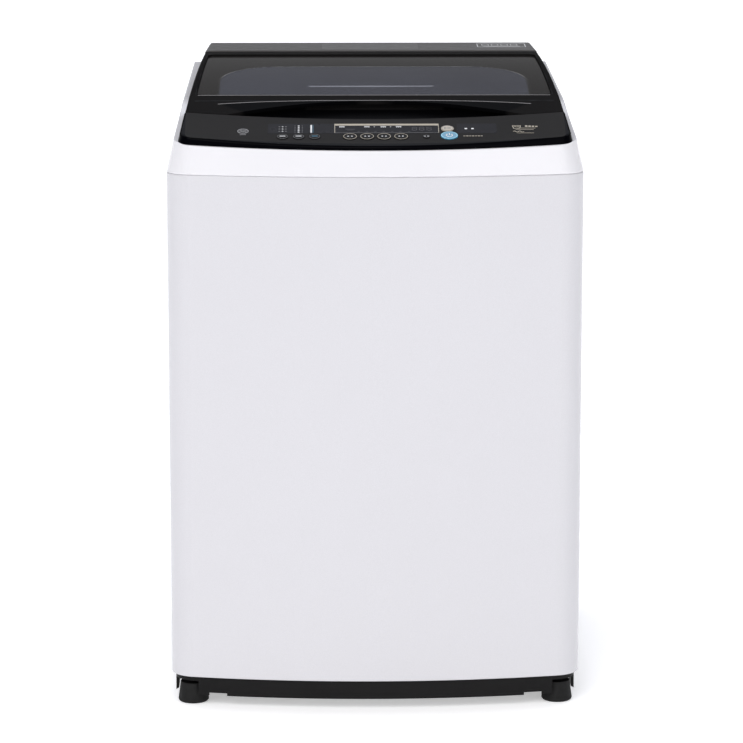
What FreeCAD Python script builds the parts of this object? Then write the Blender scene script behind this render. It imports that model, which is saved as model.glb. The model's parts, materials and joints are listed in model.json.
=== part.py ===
import FreeCAD, Part
import math
import operator
import os

import Sketcher

# Top load washing machine. Millimetres. X runs to the right, the front faces -Y, Z is up.
# The origin is on the floor, in the middle of the footprint; the wash axis is the Z axis.

SIZES = {
    # cabinet outline
    "cabinet_width": 600, "front_reach": 305, "back_reach": 302, "bow_radius": 1300,
    "front_corner": 40, "cabinet_bottom": 43, "cabinet_top": 785,
    "steel": 1, "flange": 15, "sheet_round": 2, "rear_opening_half": 275, "rear_opening_low": 70,
    "rear_opening_high": 765,
    # rear panel and what passes through it
    "panel_half": 288, "panel_low": 50, "panel_high": 780, "drain_place": 200, "drain_height": 120,
    "drain_cup": 30, "drain_spigot": 15, "drain_bore": 11, "gland_place": 220, "gland_height": 730,
    "gland_outer": 9, "gland_bore": 4.2, "gland_flange": 13, "gland_collar": 2, "gland_reach": 12,
    "cup_depth": 32, "cup_wall": 2, "drain_pipe": 25, "inlet_stub": 2,
    "rear_face": 305, "screw_radius": 4, "screw_column": 281, "screw_low": 90, "screw_pitch": 162.5,
    "screw_rows": 5, "rib_low": 260, "rib_pitch": 160, "rib_rows": 3, "rib_depth": 3,
    # base frame and feet
    "base_inset": 6, "base_bottom": 15, "base_wall": 4, "corner_plate": 7, "corner_plate_size": 72,
    "foot_x": 268, "foot_y": 248, "foot_radius": 22.5, "foot_top_radius": 19, "foot_height": 30,
    "foot_round": 4, "foot_room": 26, "stem_radius": 5, "stem_top": 66, "running_gap": 0.05,
    "nut_radius": 9, "nut_height": 7, "notch_low": 218, "notch_high": 244, "notch_height": 4,
    # white top frame: leaning walls, and the rim line that the black parts rest on
    "frame_back": 303, "top_limit": 935, "side_lean": 0.22, "front_lean": 0.13, "frame_wall": 3,
    "rim_front_z": 815, "rim_knee_y": 125, "rim_knee_z": 852, "rim_bend_y": 75, "rim_bend_z": 870,
    "rim_rear_z": 888, "rim_blend": 150, "rim_round": 2, "section_reach": 340, "section_floor": 700,
    "plan_reach": 330, "seam_reach": 400,
    "side_ledge": 14, "front_ledge": 8, "panel_pocket_back": 200, "deck_pocket_front": 203,
    "mouth_half": 215, "mouth_front": 170, "mouth_back": 165, "mouth_corner": 60, "mouth_bottom": 745,
    # black top: the skin line is one slope, one shallow arc and one flat stretch
    "skin_front_y": 288, "skin_front_z": 831, "skin_knee_y": 130, "skin_knee_z": 883,
    "skin_arc": 2047, "skin_back_y": 195, "skin_back_z": 914.5, "skin_end_z": 917,
    "black_side_inset": 7, "lid_side_inset": 8, "black_front_inset": 3, "black_corner": 22,
    "edge_round": 4, "skin": 3, "deck_back": 300, "side_sweep": 12500,
    "seam_y": 210, "seam_radius": 1643, "seam_gap": 1.5, "deck_front": 197,
    # control panel, placed along its slope from the front edge of the skin line
    "slope_run": 158, "slope_rise": 52, "lens_low": 34.5, "lens_high": 66.5, "lens_depth": 2,
    "lens_proud": 0.2, "lens_left": 154, "lens_right": 92, "second_left": 117, "second_right": 174,
    "option_radius": 8.2, "option_pitch": 23, "option_first": 133, "setting_radius": 10.4,
    "setting_pitch": 24.3, "setting_first": 36.5, "button_row": 22.5, "small_radius": 5, "small_place": 72.7,
    "start_radius": 9.3, "start_place": 103.4, "start_row": 49.5, "power_radius": 12.5,
    "power_place": 105.5, "power_row": 26, "button_gap": 0.4, "button_proud": 1.2, "stem_share": 0.4,
    "button_flange": 0.6, "button_edge": 0.8, "button_foot": 12, "button_seat": 6, "button_shelf": 3.36,
    "hole_depth": 10,
    "box_low": 5, "box_high": 68, "box_half": 165, "box_top": 15, "box_depth": 13, "box_wall": 2, "post": 5,
    "post_inset": 4, "post_margin": 1, "post_air": 0.2,
    # lid
    "hinge_y": 180, "hinge_z": 900.5, "knuckle": 14, "lip_low": 904.8, "lid_rise": 2,
    "window_front": 130, "window_back": 150, "window_front_half": 260, "window_back_half": 250.5,
    "window_corner": 12, "glass_drop": 2.5, "glass_depth": 5.5, "glass_gap": 0.4, "glass_ledge": 8,
    "ledge_drop": 8.5, "ledge_margin": 6, "plateau_front_half": 236, "plateau_back_half": 150,
    "plateau_front": 112, "plateau_shoulder": 20, "plateau_back": 88, "plateau_drop": 1, "plateau_round": 30,
    "trim_drop": 11, "trim_margin": 4, "trim_width": 12,
    "scoop_half": 218, "scoop_ends": 196, "scoop_radius": 540, "scoop_drop": 13,
    "scoop_lip": 5, "scoop_undercut": 8, "scoop_wall": 3, "scoop_reach": 260, "scoop_flare": 3,
    "buffer_x": 240, "buffer_front": 127, "buffer_back": 153, "buffer_radius": 6,
    "post_inner": 226, "post_outer": 235, "post_front": 165.5, "post_radius": 7.5, "post_drop": 22,
    "pin_radius": 4, "rib_drop": 3, "rib_room": 0.5,
    "pin_inner": 223, "rib_inner": 238, "rib_outer": 246, "rib_radius": 8.5, "pin_outer": 248,
    # detergent drawer, inlet and level sensor behind the mouth
    "drawer_half": 88, "drawer_low": 808, "drawer_high": 862, "drawer_back": 252, "drawer_wall": 2,
    "drawer_room": 2, "housing_wall": 2.5, "housing_back": 262,
    "inlet_place": 162, "inlet_height": 842, "inlet_cup": 24, "inlet_spigot": 13.2, "inlet_bore": 8,
    "inlet_box": 20, "inlet_front": 232, "inlet_pipe": 8, "inlet_pipe_place": 15, "coil_radius": 15,
    "coil_place": 18, "coil_height": 12, "sensor_place": 165, "sensor_radius": 22, "sensor_low": 822,
    "sensor_height": 26, "sensor_y": 268, "sensor_cap": 14, "sensor_cap_height": 6, "nipple_radius": 4,
    "nipple_length": 12, "sensor_arm": 10, "sensor_arm_thick": 4,
    # suspension
    "rod_place": 228, "rod_radius": 3.5, "rod_bottom": 212, "cup_radius": 17, "cup_thick": 6,
    "bracket_low": 764, "bracket_thick": 3, "bracket_inner": 200, "bracket_front": 190, "bracket_reach": 238,
    "bracket_hole": 5, "bracket_flange": 740, "head_radius": 9, "head_height": 8,
    "spring_radius": 12.5, "spring_wire": 1.4, "lug_low": 322, "lug_high": 336,
    "lug_half": 20, "lug_end": 342, "lug_hole": 8, "web_reach": 30, "web_half": 4, "web_height": 50,
    "damper_low": 302, "damper_radius": 18, "damper_hole": 5.5,
    # tubs
    "tub_radius": 262, "tub_bottom": 200, "tub_top": 690, "tub_wall": 3, "tub_hole": 30,
    "cover_radius": 264, "cover_edge": 695, "cover_high": 717, "cover_mouth": 203, "cover_lip": 4,
    "cover_inner": 254, "cover_under": 693, "cover_shoulder": 208,
    "basket_radius": 235, "basket_bottom": 222, "basket_top": 646, "basket_wall": 0.8, "basket_hole": 24,
    "ring_outer": 240, "ring_inner": 193, "ring_bottom": 646, "ring_top": 690, "ring_round": 8,
    "flange_radius": 150, "flange_low": 213,
    "filter_low": 330, "filter_high": 560, "filter_half": 45, "filter_face": 205, "filter_floor": 217,
    "filter_side": 6, "filter_end": 14,
    "hole_radius": 3, "hole_low": 300, "hole_pitch": 50, "hole_rows": 7, "hole_columns": 16,
    # pulsator and drive
    "pulsator_radius": 165, "pulsator_low": 232, "pulsator_disc": 8, "dome_radius": 60, "dome_high": 264,
    "vane_length": 145, "vane_width": 16, "vane_high": 256, "vane_count": 6, "vane_root": 2,
    "vane_round": 2, "dish_rise": 2, "cap_radius": 16, "cap_high": 268, "cap_round": 2,
    "hub_radius": 26, "shaft_radius": 8, "shaft_bottom": 134, "shaft_gap": 0.06,
    "sleeve_radius": 20, "sleeve_bottom": 150, "seal_radius": 32, "seal_top_radius": 26, "seal_high": 208,
    "support_radius": 180, "support_low": 190, "support_arm": 26, "support_ring": 160,
    "clutch_radius": 75, "clutch_low": 110, "clutch_wall": 6, "clutch_flange": 95,
    "pulley_radius": 70, "pulley_low": 86, "pulley_high": 104, "groove": 5, "belt_gap": 0.4,
    "belt_low": 91, "belt_high": 99, "belt_thick": 5, "input_top": 126, "input_bottom": 80,
    "motor_place": 156, "motor_radius": 56, "motor_low": 112, "motor_shaft": 6, "motor_pulley": 22,
    "motor_wheel_top": 150, "motor_lugs": 4, "motor_lug": 7, "motor_plate": 4, "motor_air": 8,
    "lever_pivot_x": 70, "lever_pivot_y": 72, "lever_low": 140, "lever_thick": 4, "lever_length": 74,
    "lever_width": 14, "lever_pin": 4, "lever_boss": 8, "actuator_x": 178, "actuator_y": 84,
    "actuator_half": 19, "actuator_length": 58, "actuator_height": 38, "actuator_pad": 27,
    "actuator_pad_x": 138, "valve_x": 128, "valve_y": 62, "valve_radius": 27, "valve_low": 142,
    "valve_pipe": 14, "valve_wall": 3, "valve_lift": 16, "valve_reach": 60,
}
OPERATIONS = {"+": operator.add, "-": operator.sub, "*": operator.mul, "/": operator.truediv}

doc = FreeCAD.newDocument("TopLoadWasher")
sheet = doc.addObject("Spreadsheet::Sheet", "Sizes")
for row, (alias, number) in enumerate(SIZES.items(), start=1):
    sheet.set(f"A{row}", alias)
    sheet.set(f"B{row}", str(number))
    sheet.setAlias(f"B{row}", alias)
doc.recompute()


class Size:
    """A number together with the spreadsheet formula that gives it."""

    def __init__(self, formula, value):
        self.formula = formula
        self.value = value

    def __add__(self, other):
        return joined(self, "+", other)

    def __radd__(self, other):
        return joined(other, "+", self)

    def __sub__(self, other):
        return joined(self, "-", other)

    def __rsub__(self, other):
        return joined(other, "-", self)

    def __mul__(self, other):
        return joined(self, "*", other)

    def __rmul__(self, other):
        return joined(other, "*", self)

    def __truediv__(self, other):
        return joined(self, "/", other)

    def __neg__(self):
        return joined(0, "-", self)


def sized(item):
    if isinstance(item, Size):
        return item
    return Size(f"({item})" if item < 0 else f"{item}", float(item))


def joined(left, sign, right):
    left, right = sized(left), sized(right)
    value = OPERATIONS[sign](left.value, right.value)
    return Size(f"({left.formula} {sign} {right.formula})", value)


def root(size):
    return Size(f"sqrt({size.formula})", math.sqrt(size.value))


class Sheet:
    """Gives each spreadsheet alias as a Size."""

    def __getattr__(self, alias):
        return Size(f"Sizes.{alias}", float(SIZES[alias]))


S = Sheet()
kept = []


def keep(label, item):
    item.Label = label
    kept.append(item)
    return item


def bind(item, prop, size):
    item.setExpression(prop, sized(size).formula)


def place(item, x=0, y=0, z=0):
    for axis, size in zip("xyz", (x, y, z)):
        bind(item, f"Placement.Base.{axis}", size)
    return item


# ---------------------------------------------------------------- primitives and booleans

AXIS_TURNS = {
    "X": FreeCAD.Rotation(FreeCAD.Vector(0, 1, 0), 90),
    "Y": FreeCAD.Rotation(FreeCAD.Vector(1, 0, 0), -90),
    "Z": FreeCAD.Rotation(),
}


def box(name, x, y, z):
    item = doc.addObject("Part::Box", name)
    for prop, (low, high) in zip(("Length", "Width", "Height"), (x, y, z)):
        bind(item, prop, high - low)
    return place(item, x[0], y[0], z[0])


def cylinder(name, radius, start, length, axis="Z"):
    item = doc.addObject("Part::Cylinder", name)
    bind(item, "Radius", radius)
    bind(item, "Height", length)
    item.Placement = FreeCAD.Placement(FreeCAD.Vector(), AXIS_TURNS[axis])
    return place(item, *start)


def fuse(name, items):
    item = doc.addObject("Part::MultiFuse", name)
    item.Shapes = items
    return item


def cut(name, base, tools):
    item = doc.addObject("Part::Cut", name)
    item.Base = base
    item.Tool = tools[0] if len(tools) == 1 else fuse(name + "Tools", tools)
    return item


def common(name, items):
    result = items[0]
    for index, other in enumerate(items[1:], start=1):
        meet = doc.addObject("Part::Common", f"{name}{index}")
        meet.Base = result
        meet.Tool = other
        result = meet
    return result


def tube(name, outer, inner, start, length, axis="Z"):
    solid = cylinder(name + "Outer", outer, start, length, axis)
    hole = cylinder(name + "Inner", inner, start, length, axis)
    return cut(name, solid, [hole])


def mirrored(span, side):
    return span if side > 0 else (-span[1], -span[0])


# ---------------------------------------------------------------- sketched bodies

def new_sketch(body, plane, name, offset=0):
    sketch = body.newObject("Sketcher::SketchObject", name)
    support = next(item for item in body.Origin.OriginFeatures if item.Role == plane + "_Plane")
    sketch.AttachmentSupport = (support, [""])
    sketch.MapMode = "FlatFace"
    bind(sketch, "AttachmentOffset.Base.z", offset)
    return sketch


def arc_between(start, end, radius):
    """The minor arc from start to end; a positive radius turns anticlockwise."""
    chord = end - start
    half = chord.Length / 2
    left = FreeCAD.Vector(-chord.y, chord.x, 0).normalize()
    height = math.sqrt(radius * radius - half * half)
    centre = (start + end) / 2 + left * math.copysign(height, radius)
    first, last = (start, end) if radius > 0 else (end, start)
    angles = [math.atan2(point.y - centre.y, point.x - centre.x) for point in (first, last)]
    circle = Part.Circle(centre, FreeCAD.Vector(0, 0, 1), abs(radius))
    return Part.ArcOfCircle(circle, *angles)


def draw(sketch, points):
    """A closed outline. A point (u, v, radius) starts an arc to the next point."""
    corners = [FreeCAD.Vector(sized(point[0]).value, sized(point[1]).value, 0) for point in points]
    ends = []
    for index, point in enumerate(points):
        start, end = corners[index], corners[(index + 1) % len(points)]
        radius = sized(point[2]).value if len(point) == 3 else 0
        shape = arc_between(start, end, radius) if radius else Part.LineSegment(start, end)
        sketch.addGeometry(shape)
        ends.append((2, 1) if radius < 0 else (1, 2))
    for index, point in enumerate(points):
        following = (index + 1) % len(points)
        sketch.addConstraint(
            Sketcher.Constraint("Coincident", index, ends[index][1], following, ends[following][0])
        )
        for axis, size in zip("XY", point):
            constraint = Sketcher.Constraint(
                "Distance" + axis, -1, 1, index, ends[index][0], sized(size).value
            )
            sketch.renameConstraint(sketch.addConstraint(constraint), f"{axis}{index}")
            bind(sketch, f"Constraints.{axis}{index}", size)
        if len(point) == 3:
            constraint = Sketcher.Constraint("Radius", index, abs(sized(point[2]).value))
            sketch.renameConstraint(sketch.addConstraint(constraint), f"Arc{index}")
            bind(sketch, f"Constraints.Arc{index}", point[2] if sized(point[2]).value > 0 else -point[2])


def corner_edges(shape, plane, points, chosen):
    """The names of the edges that leave the chosen outline corners across the sketch plane."""
    first, second = {"XY": ("x", "y"), "XZ": ("x", "z"), "YZ": ("y", "z")}[plane]
    names = []
    for corner in chosen:
        u, v = (sized(size).value for size in points[corner][:2])
        for number, edge in enumerate(shape.Edges, start=1):
            hits = [
                math.hypot(getattr(vertex.Point, first) - u, getattr(vertex.Point, second) - v) < 1e-4
                for vertex in edge.Vertexes
            ]
            if len(hits) == 2 and all(hits):
                names.append(f"Edge{number}")
    return names


def prism(name, plane, points, span, rounds=()):
    """An outline padded across its plane from span's first place to its second.

    Each of the rounds is a fillet radius and the outline corners that it rounds."""
    body = doc.addObject("PartDesign::Body", name)
    start = -span[1] if plane == "XZ" else span[0]
    sketch = new_sketch(body, plane, name + "Sketch", start)
    draw(sketch, points)
    pad = body.newObject("PartDesign::Pad", name + "Pad")
    pad.Profile = sketch
    bind(pad, "Length", span[1] - span[0])
    feature = pad
    for radius, chosen in rounds:
        doc.recompute()
        fillet = body.newObject("PartDesign::Fillet", name + "Round")
        fillet.Base = (feature, corner_edges(feature.Shape, plane, points, chosen))
        bind(fillet, "Radius", radius)
        feature = fillet
    body.Tip = feature
    return body


def lathe(name, points):
    """An outline of radius and height, turned about the Z axis."""
    body = doc.addObject("PartDesign::Body", name)
    sketch = new_sketch(body, "XZ", name + "Sketch")
    draw(sketch, points)
    turned = body.newObject("PartDesign::Revolution", name + "Turned")
    turned.Profile = sketch
    turned.ReferenceAxis = (sketch, ["V_Axis"])
    turned.Angle = 360
    body.Tip = turned
    return body


# ---------------------------------------------------------------- outlines that many parts share

def bowed_plan(half, front, back, corner, sweep=None):
    """A plan outline with a bowed front, whose round corners run smoothly into bow and sides.

    The sides are straight, or arcs of radius sweep that draw in towards the back."""
    bow = S.bow_radius
    bow_centre = bow - front
    reach = half - corner
    drop = root((bow - corner) * (bow - corner) - reach * reach)
    grow = bow / (bow - corner)
    across, ahead = reach * grow, bow_centre - drop * grow
    side = bow_centre - drop
    fronts = [(-half, side, corner), (-across, ahead, bow), (across, ahead, corner)]
    if sweep is None:
        return fronts + [(half, side), (half, back), (-half, back)]
    rear_half = half - sweep + root(sweep * sweep - (back - side) * (back - side))
    return fronts + [(half, side, sweep), (rear_half, back), (-rear_half, back, sweep)]


def outline_edges(shape):
    """The numbers of the edges where a level or gently sloping face meets a wall."""
    level_faces = []
    for face in shape.Faces:
        spans = face.ParameterRange
        normal = face.normalAt((spans[0] + spans[1]) / 2, (spans[2] + spans[3]) / 2)
        if abs(normal.z) > 0.5:
            level_faces.append(face)
    numbers = []
    for number, edge in enumerate(shape.Edges, start=1):
        touching = [face for face in level_faces if any(edge.isSame(other) for other in face.Edges)]
        if len(touching) == 1:
            numbers.append(number)
    return numbers


def rounded(name, item, radius):
    """The item with the edges of its level faces rounded."""
    doc.recompute()
    fillet = doc.addObject("Part::Fillet", name)
    fillet.Base = item
    fillet.Edges = [(number, radius.value, radius.value) for number in outline_edges(item.Shape)]
    return fillet


def upright(name, inset, span):
    """A straight prism of the cabinet's plan outline, brought in by inset."""
    points = bowed_plan(S.cabinet_width / 2 - inset, S.front_reach - inset, S.back_reach - inset,
                        S.front_corner - inset)
    return prism(name, "XY", points, span)


def leaning(name, side_inset, front_inset, back, corner, sweep=None):
    """The top frame's leaning outline as a solid from the cabinet's top edge upwards."""
    body = doc.addObject("PartDesign::Body", name)
    rise = S.top_limit - S.cabinet_top
    sketches = []
    for level, height in ((S.cabinet_top, 0), (S.top_limit, rise)):
        half = S.cabinet_width / 2 - side_inset - S.side_lean * height
        front = S.front_reach - front_inset - S.front_lean * height
        sketch = new_sketch(body, "XY", f"{name}Level{len(sketches)}", level)
        draw(sketch, bowed_plan(half, front, back, corner, sweep))
        sketches.append(sketch)
    loft = body.newObject("PartDesign::AdditiveLoft", name + "Loft")
    loft.Profile = sketches[0]
    loft.Sections = [sketches[1]]
    loft.Ruled = True
    body.Tip = loft
    return body


def skin_line(y):
    """The height of the black top's skin line on its front slope."""
    return S.skin_front_z + (y + S.skin_front_y) * S.slope_rise / S.slope_run


def below_skin(name, drop=0):
    """Everything lower than the skin line less the drop, across the whole width."""
    end = S.section_reach
    points = [
        (-end, S.section_floor),
        (end, S.section_floor),
        (end, S.skin_end_z - drop),
        (S.skin_back_y, S.skin_back_z - drop, S.skin_arc),
        (-S.skin_knee_y, S.skin_knee_z - drop),
        (-end, skin_line(-end) - drop),
    ]
    return prism(name, "YZ", points, (-S.plan_reach, S.plan_reach))


def below_rim(name, lift=0):
    """Everything lower than the white rim line, raised by lift."""
    end = S.section_reach
    points = [
        (-end, S.section_floor),
        (end, S.section_floor),
        (end, S.rim_rear_z + lift),
        (-S.rim_bend_y, S.rim_bend_z + lift),
        (-S.rim_knee_y, S.rim_knee_z + lift),
        (-end, S.rim_front_z + lift),
    ]
    return prism(name, "YZ", points, (-S.plan_reach, S.plan_reach), [(S.rim_blend, (3, 4))])


def seam_side(name, shift, front):
    """The plan area in front of the bowed lid seam, or behind it, moved back by shift."""
    reach = S.plan_reach
    seam = S.seam_radius - S.seam_y + shift - root(S.seam_radius * S.seam_radius - reach * reach)
    far = -S.seam_reach if front else S.section_reach
    if front:
        points = [(-reach, far), (reach, far), (reach, seam, -S.seam_radius), (-reach, seam)]
    else:
        points = [(-reach, seam, S.seam_radius), (reach, seam), (reach, far), (-reach, far)]
    return prism(name, "XY", points, (S.section_floor, S.top_limit))


def on_skin(shape):
    """The numbers of a black block's edges where its skin turns down into a wall."""
    arc_centre_z, arc_centre_y = skin_arc_centre()
    numbers = []
    for number, edge in enumerate(shape.Edges, start=1):
        spots = [edge.valueAt(edge.FirstParameter + part * (edge.LastParameter - edge.FirstParameter))
                 for part in (0, 0.5, 1)]
        heights = [skin_height(spot.y, arc_centre_y, arc_centre_z) for spot in spots]
        level = all(abs(spot.z - height) < 0.02 for spot, height in zip(spots, heights))
        across = max(spot.y for spot in spots) - min(spot.y for spot in spots) < 0.01
        if level and not across:
            numbers.append(number)
    return numbers


def skin_arc_centre():
    start = FreeCAD.Vector(S.skin_back_y.value, S.skin_back_z.value, 0)
    end = FreeCAD.Vector(-S.skin_knee_y.value, S.skin_knee_z.value, 0)
    centre = arc_between(start, end, S.skin_arc.value).Center
    return centre.y, centre.x


def skin_height(y, centre_y, centre_z):
    if y < -S.skin_knee_y.value:
        return skin_line(y).value
    if y < S.skin_back_y.value:
        return centre_z + math.sqrt(S.skin_arc.value ** 2 - (y - centre_y) ** 2)
    rise = (S.skin_end_z - S.skin_back_z).value / (S.section_reach - S.skin_back_y).value
    return S.skin_back_z.value + (y - S.skin_back_y.value) * rise


def black_block(name, side_inset, front_inset, drop=0, sharp=False):
    """The outer form of the black top, with its upper edge rounded unless it is a sharp inside."""
    block = common(name, [
        leaning(name + "Lean", side_inset, front_inset, S.deck_back - (front_inset - S.black_front_inset),
                S.black_corner - (side_inset - S.black_side_inset), S.side_sweep),
        below_skin(name + "Skin", drop),
    ])
    if sharp:
        return block
    doc.recompute()
    fillet = doc.addObject("Part::Fillet", name + "Round")
    fillet.Base = block
    fillet.Edges = [(number, S.edge_round.value, S.edge_round.value) for number in on_skin(block.Shape)]
    return fillet


# ---------------------------------------------------------------- cabinet

def build_cabinet():
    block = upright("CabinetOuter", 0, (S.cabinet_bottom, S.cabinet_top))
    outer = rounded("CabinetRounds", block, S.sheet_round)
    inner = upright("CabinetInner", S.steel, (S.cabinet_bottom + S.steel, S.cabinet_top - S.steel))
    through = upright("CabinetThrough", S.flange, (S.cabinet_bottom - 1, S.cabinet_top + 1))
    opening = box(
        "CabinetRear",
        (-S.rear_opening_half, S.rear_opening_half),
        (S.back_reach - S.flange, S.back_reach + 1),
        (S.rear_opening_low, S.rear_opening_high),
    )
    keep("cabinet", cut("Cabinet", outer, [inner, through, opening]))


def build_back_panel():
    plate = box(
        "BackPlate",
        (-S.panel_half, S.panel_half),
        (S.back_reach, S.back_reach + S.steel),
        (S.panel_low, S.panel_high),
    )
    rib = S.rear_opening_half - S.flange
    ribs = []
    for index in range(SIZES["rib_rows"]):
        level = S.rib_low + index * S.rib_pitch
        ribs.append(box(f"BackRib{index}", (-rib, rib), (S.back_reach - S.rib_depth, S.back_reach),
                        (level, level + S.flange)))
    drain = cylinder("DrainHole", S.drain_cup, (-S.drain_place, S.cup_depth, S.drain_height),
                     S.rear_face, "Y")
    gland = cylinder("GlandHole", S.gland_outer, (S.gland_place, S.cup_depth, S.gland_height),
                     S.rear_face, "Y")
    keep("back_panel", cut("BackPanel", fuse("BackBody", [plate] + ribs), [drain, gland]))

    heads = []
    for side in (-1, 1):
        for index in range(SIZES["screw_rows"]):
            start = (side * S.screw_column, S.back_reach + S.steel, S.screw_low + index * S.screw_pitch)
            heads.append(cylinder(f"ScrewHead{len(heads)}", S.screw_radius, start,
                                  S.rear_face - S.back_reach - S.steel, "Y"))
    keep("rear_screws", fuse("RearScrews", heads))


def cupped_spigot(name, where, height, cup, spigot, bore, pipe):
    """A hose spigot that stands in a round cup set into the rear wall."""
    floor = S.rear_face - S.cup_depth
    wall = tube(name + "Cup", cup, cup - S.cup_wall, (where, floor, height), S.cup_depth - 2, "Y")
    plate = cylinder(name + "Floor", cup, (where, floor - S.cup_wall, height), S.cup_wall, "Y")
    stem = cylinder(name + "Stem", spigot, (where, floor, height), S.cup_depth - 4, "Y")
    back = cylinder(name + "Back", spigot, (where, floor - pipe, height), pipe, "Y")
    hole = cylinder(name + "Bore", bore, (where, floor - pipe, height), S.cup_depth + pipe, "Y")
    return cut(name, fuse(name + "Solid", [wall, plate, stem, back]), [hole])


def build_rear_fittings():
    keep("drain_outlet", cupped_spigot(
        "DrainOutlet", -S.drain_place, S.drain_height, S.drain_cup, S.drain_spigot, S.drain_bore,
        S.drain_pipe))
    where = (S.gland_place, S.back_reach - S.gland_reach, S.gland_height)
    sleeve = cylinder("GlandSleeve", S.gland_outer, where, S.rear_face - S.back_reach + S.gland_reach, "Y")
    collar = cylinder("GlandCollar", S.gland_flange,
                      (S.gland_place, S.back_reach + S.steel, S.gland_height), S.gland_collar, "Y")
    bore = cylinder("GlandBore", S.gland_bore, where, 2 * S.gland_reach, "Y")
    keep("power_cord_gland", cut("PowerCordGland", fuse("GlandSolid", [sleeve, collar]), [bore]))


def corners():
    for side_x in (-1, 1):
        for side_y in (-1, 1):
            yield side_x, side_y


def build_base_frame():
    span = (S.base_bottom, S.cabinet_bottom)
    outer = upright("BaseOuter", S.base_inset, span)
    inner = upright("BaseInner", S.base_inset + S.base_wall, span)
    ring = cut("BaseRing", outer, [inner])
    plates = []
    cuts = []
    for side_x, side_y in corners():
        tag = f"{len(plates)}"
        start_x = S.foot_x - S.corner_plate_size / 2
        plate = box("BasePlate" + tag, mirrored((start_x, S.cabinet_width / 2), side_x),
                    mirrored((S.foot_y - S.corner_plate_size / 2, S.front_reach), side_y),
                    (S.cabinet_bottom - S.corner_plate, S.cabinet_bottom))
        plates.append(plate)
        where = (side_x * S.foot_x, side_y * S.foot_y)
        cuts.append(cylinder("FootRoom" + tag, S.foot_room, (*where, 0),
                             S.cabinet_bottom - S.corner_plate))
        gap = S.running_gap if side_y < 0 else 0
        cuts.append(cylinder("StemHole" + tag, S.stem_radius + gap, (*where, 0), S.stem_top))
        cuts.append(box("FrontNotch" + tag, mirrored((S.notch_low, S.notch_high), side_x),
                        mirrored((S.foot_y, S.front_reach + 5), side_y),
                        (S.base_bottom, S.base_bottom + S.notch_height)))
    solid = common("BaseSolid", [fuse("BaseAll", [ring] + plates), upright("BaseLimit", S.base_inset, span)])
    keep("base_frame", cut("BaseFrame", solid, cuts))


def build_feet():
    names = {(-1, -1): "front_left_foot", (1, -1): "front_right_foot",
             (-1, 1): "rear_left_foot", (1, 1): "rear_right_foot"}
    nuts = []
    for (side_x, side_y), label in names.items():
        body = lathe("Foot" + str(len(nuts)), [
            (0, 0), (S.foot_radius - S.foot_round, 0, S.foot_round), (S.foot_radius, S.foot_round),
            (S.foot_top_radius, S.foot_height), (S.stem_radius, S.foot_height),
            (S.stem_radius, S.stem_top), (0, S.stem_top),
        ])
        keep(label, place(body, side_x * S.foot_x, side_y * S.foot_y))
        gap = S.running_gap if side_y < 0 else 0
        nuts.append(tube(f"Nut{len(nuts)}", S.nut_radius, S.stem_radius + gap,
                         (side_x * S.foot_x, side_y * S.foot_y, S.cabinet_bottom), S.nut_height))
    keep("foot_lock_nuts", fuse("FootLockNuts", nuts))


# ---------------------------------------------------------------- white top frame and black top

def mouth_plan(grow):
    half = S.mouth_half + grow
    return [(-half, -S.mouth_front - grow), (half, -S.mouth_front - grow),
            (half, S.mouth_back + grow), (-half, S.mouth_back + grow)]


def mouth_prism(name, grow, span):
    return prism(name, "XY", mouth_plan(grow), span, [(S.mouth_corner + grow, (0, 1, 2, 3))])


def hinge_part(name, span, radius, front, low):
    """A hinge cheek: a round boss on the hinge axis with a web that reaches down to low."""
    boss = cylinder(name + "Boss", radius, (span[0], S.hinge_y, S.hinge_z), span[1] - span[0], "X")
    web = box(name + "Web", span, (front, S.hinge_y), (low, S.hinge_z))
    return [boss, web]


def build_top_frame():
    outer = rounded("FrameRounds", common("FrameOuter", [
        leaning("FrameLean", 0, 0, S.frame_back, S.front_corner), below_rim("FrameRim")]), S.rim_round)
    inner = common("FrameInner", [
        leaning("FrameLeanInner", S.frame_wall, S.frame_wall, S.frame_back - S.frame_wall,
                S.front_corner - S.frame_wall),
        below_rim("FrameRimInner", -S.frame_wall)])
    ledges = [leaning(f"FrameLedge{index}", S.side_ledge, S.front_ledge, S.deck_back - S.side_ledge,
                      S.black_corner, S.side_sweep) for index in range(2)]
    everywhere = (-S.plan_reach, S.plan_reach)
    tall = (S.cabinet_top, S.top_limit)
    panel_pocket = common("PanelPocket", [
        ledges[0], box("PanelPocketBox", everywhere, (-S.section_reach, -S.panel_pocket_back), tall)])
    deck_pocket = common("DeckPocket", [
        ledges[1], box("DeckPocketBox", everywhere, (S.deck_pocket_front, S.section_reach), tall)])
    roof = cut("FrameShell", outer, [inner, panel_pocket, deck_pocket])

    funnel_span = (S.mouth_bottom, S.top_limit)
    funnel = common("Funnel", [mouth_prism("FunnelOuter", S.frame_wall, funnel_span), below_rim("FunnelRim")])
    posts = []
    for side in (-1, 1):
        posts += hinge_part(f"HingePost{len(posts)}", mirrored((S.post_inner, S.post_outer), side),
                            S.post_radius, S.post_front, S.hinge_z - S.post_drop)
    solid = fuse("FrameSolid", [roof, funnel] + posts)
    holes = [
        mouth_prism("MouthHole", 0, (S.mouth_bottom - 1, S.top_limit)),
        box("DrawerHole", (-S.drawer_half - S.drawer_room, S.drawer_half + S.drawer_room),
            (S.mouth_back - 1, S.mouth_back + S.frame_wall + 1),
            (S.drawer_low - S.drawer_room, S.drawer_high + S.drawer_room)),
        cylinder("InletHole", S.inlet_cup, (S.inlet_place, S.deck_back - S.flange, S.inlet_height),
                 2 * S.flange, "Y"),
        cylinder("HingeBores", S.pin_radius, (-S.plan_reach, S.hinge_y, S.hinge_z), 2 * S.plan_reach, "X"),
    ]
    keep("top_frame", cut("TopFrame", solid, holes))


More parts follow.
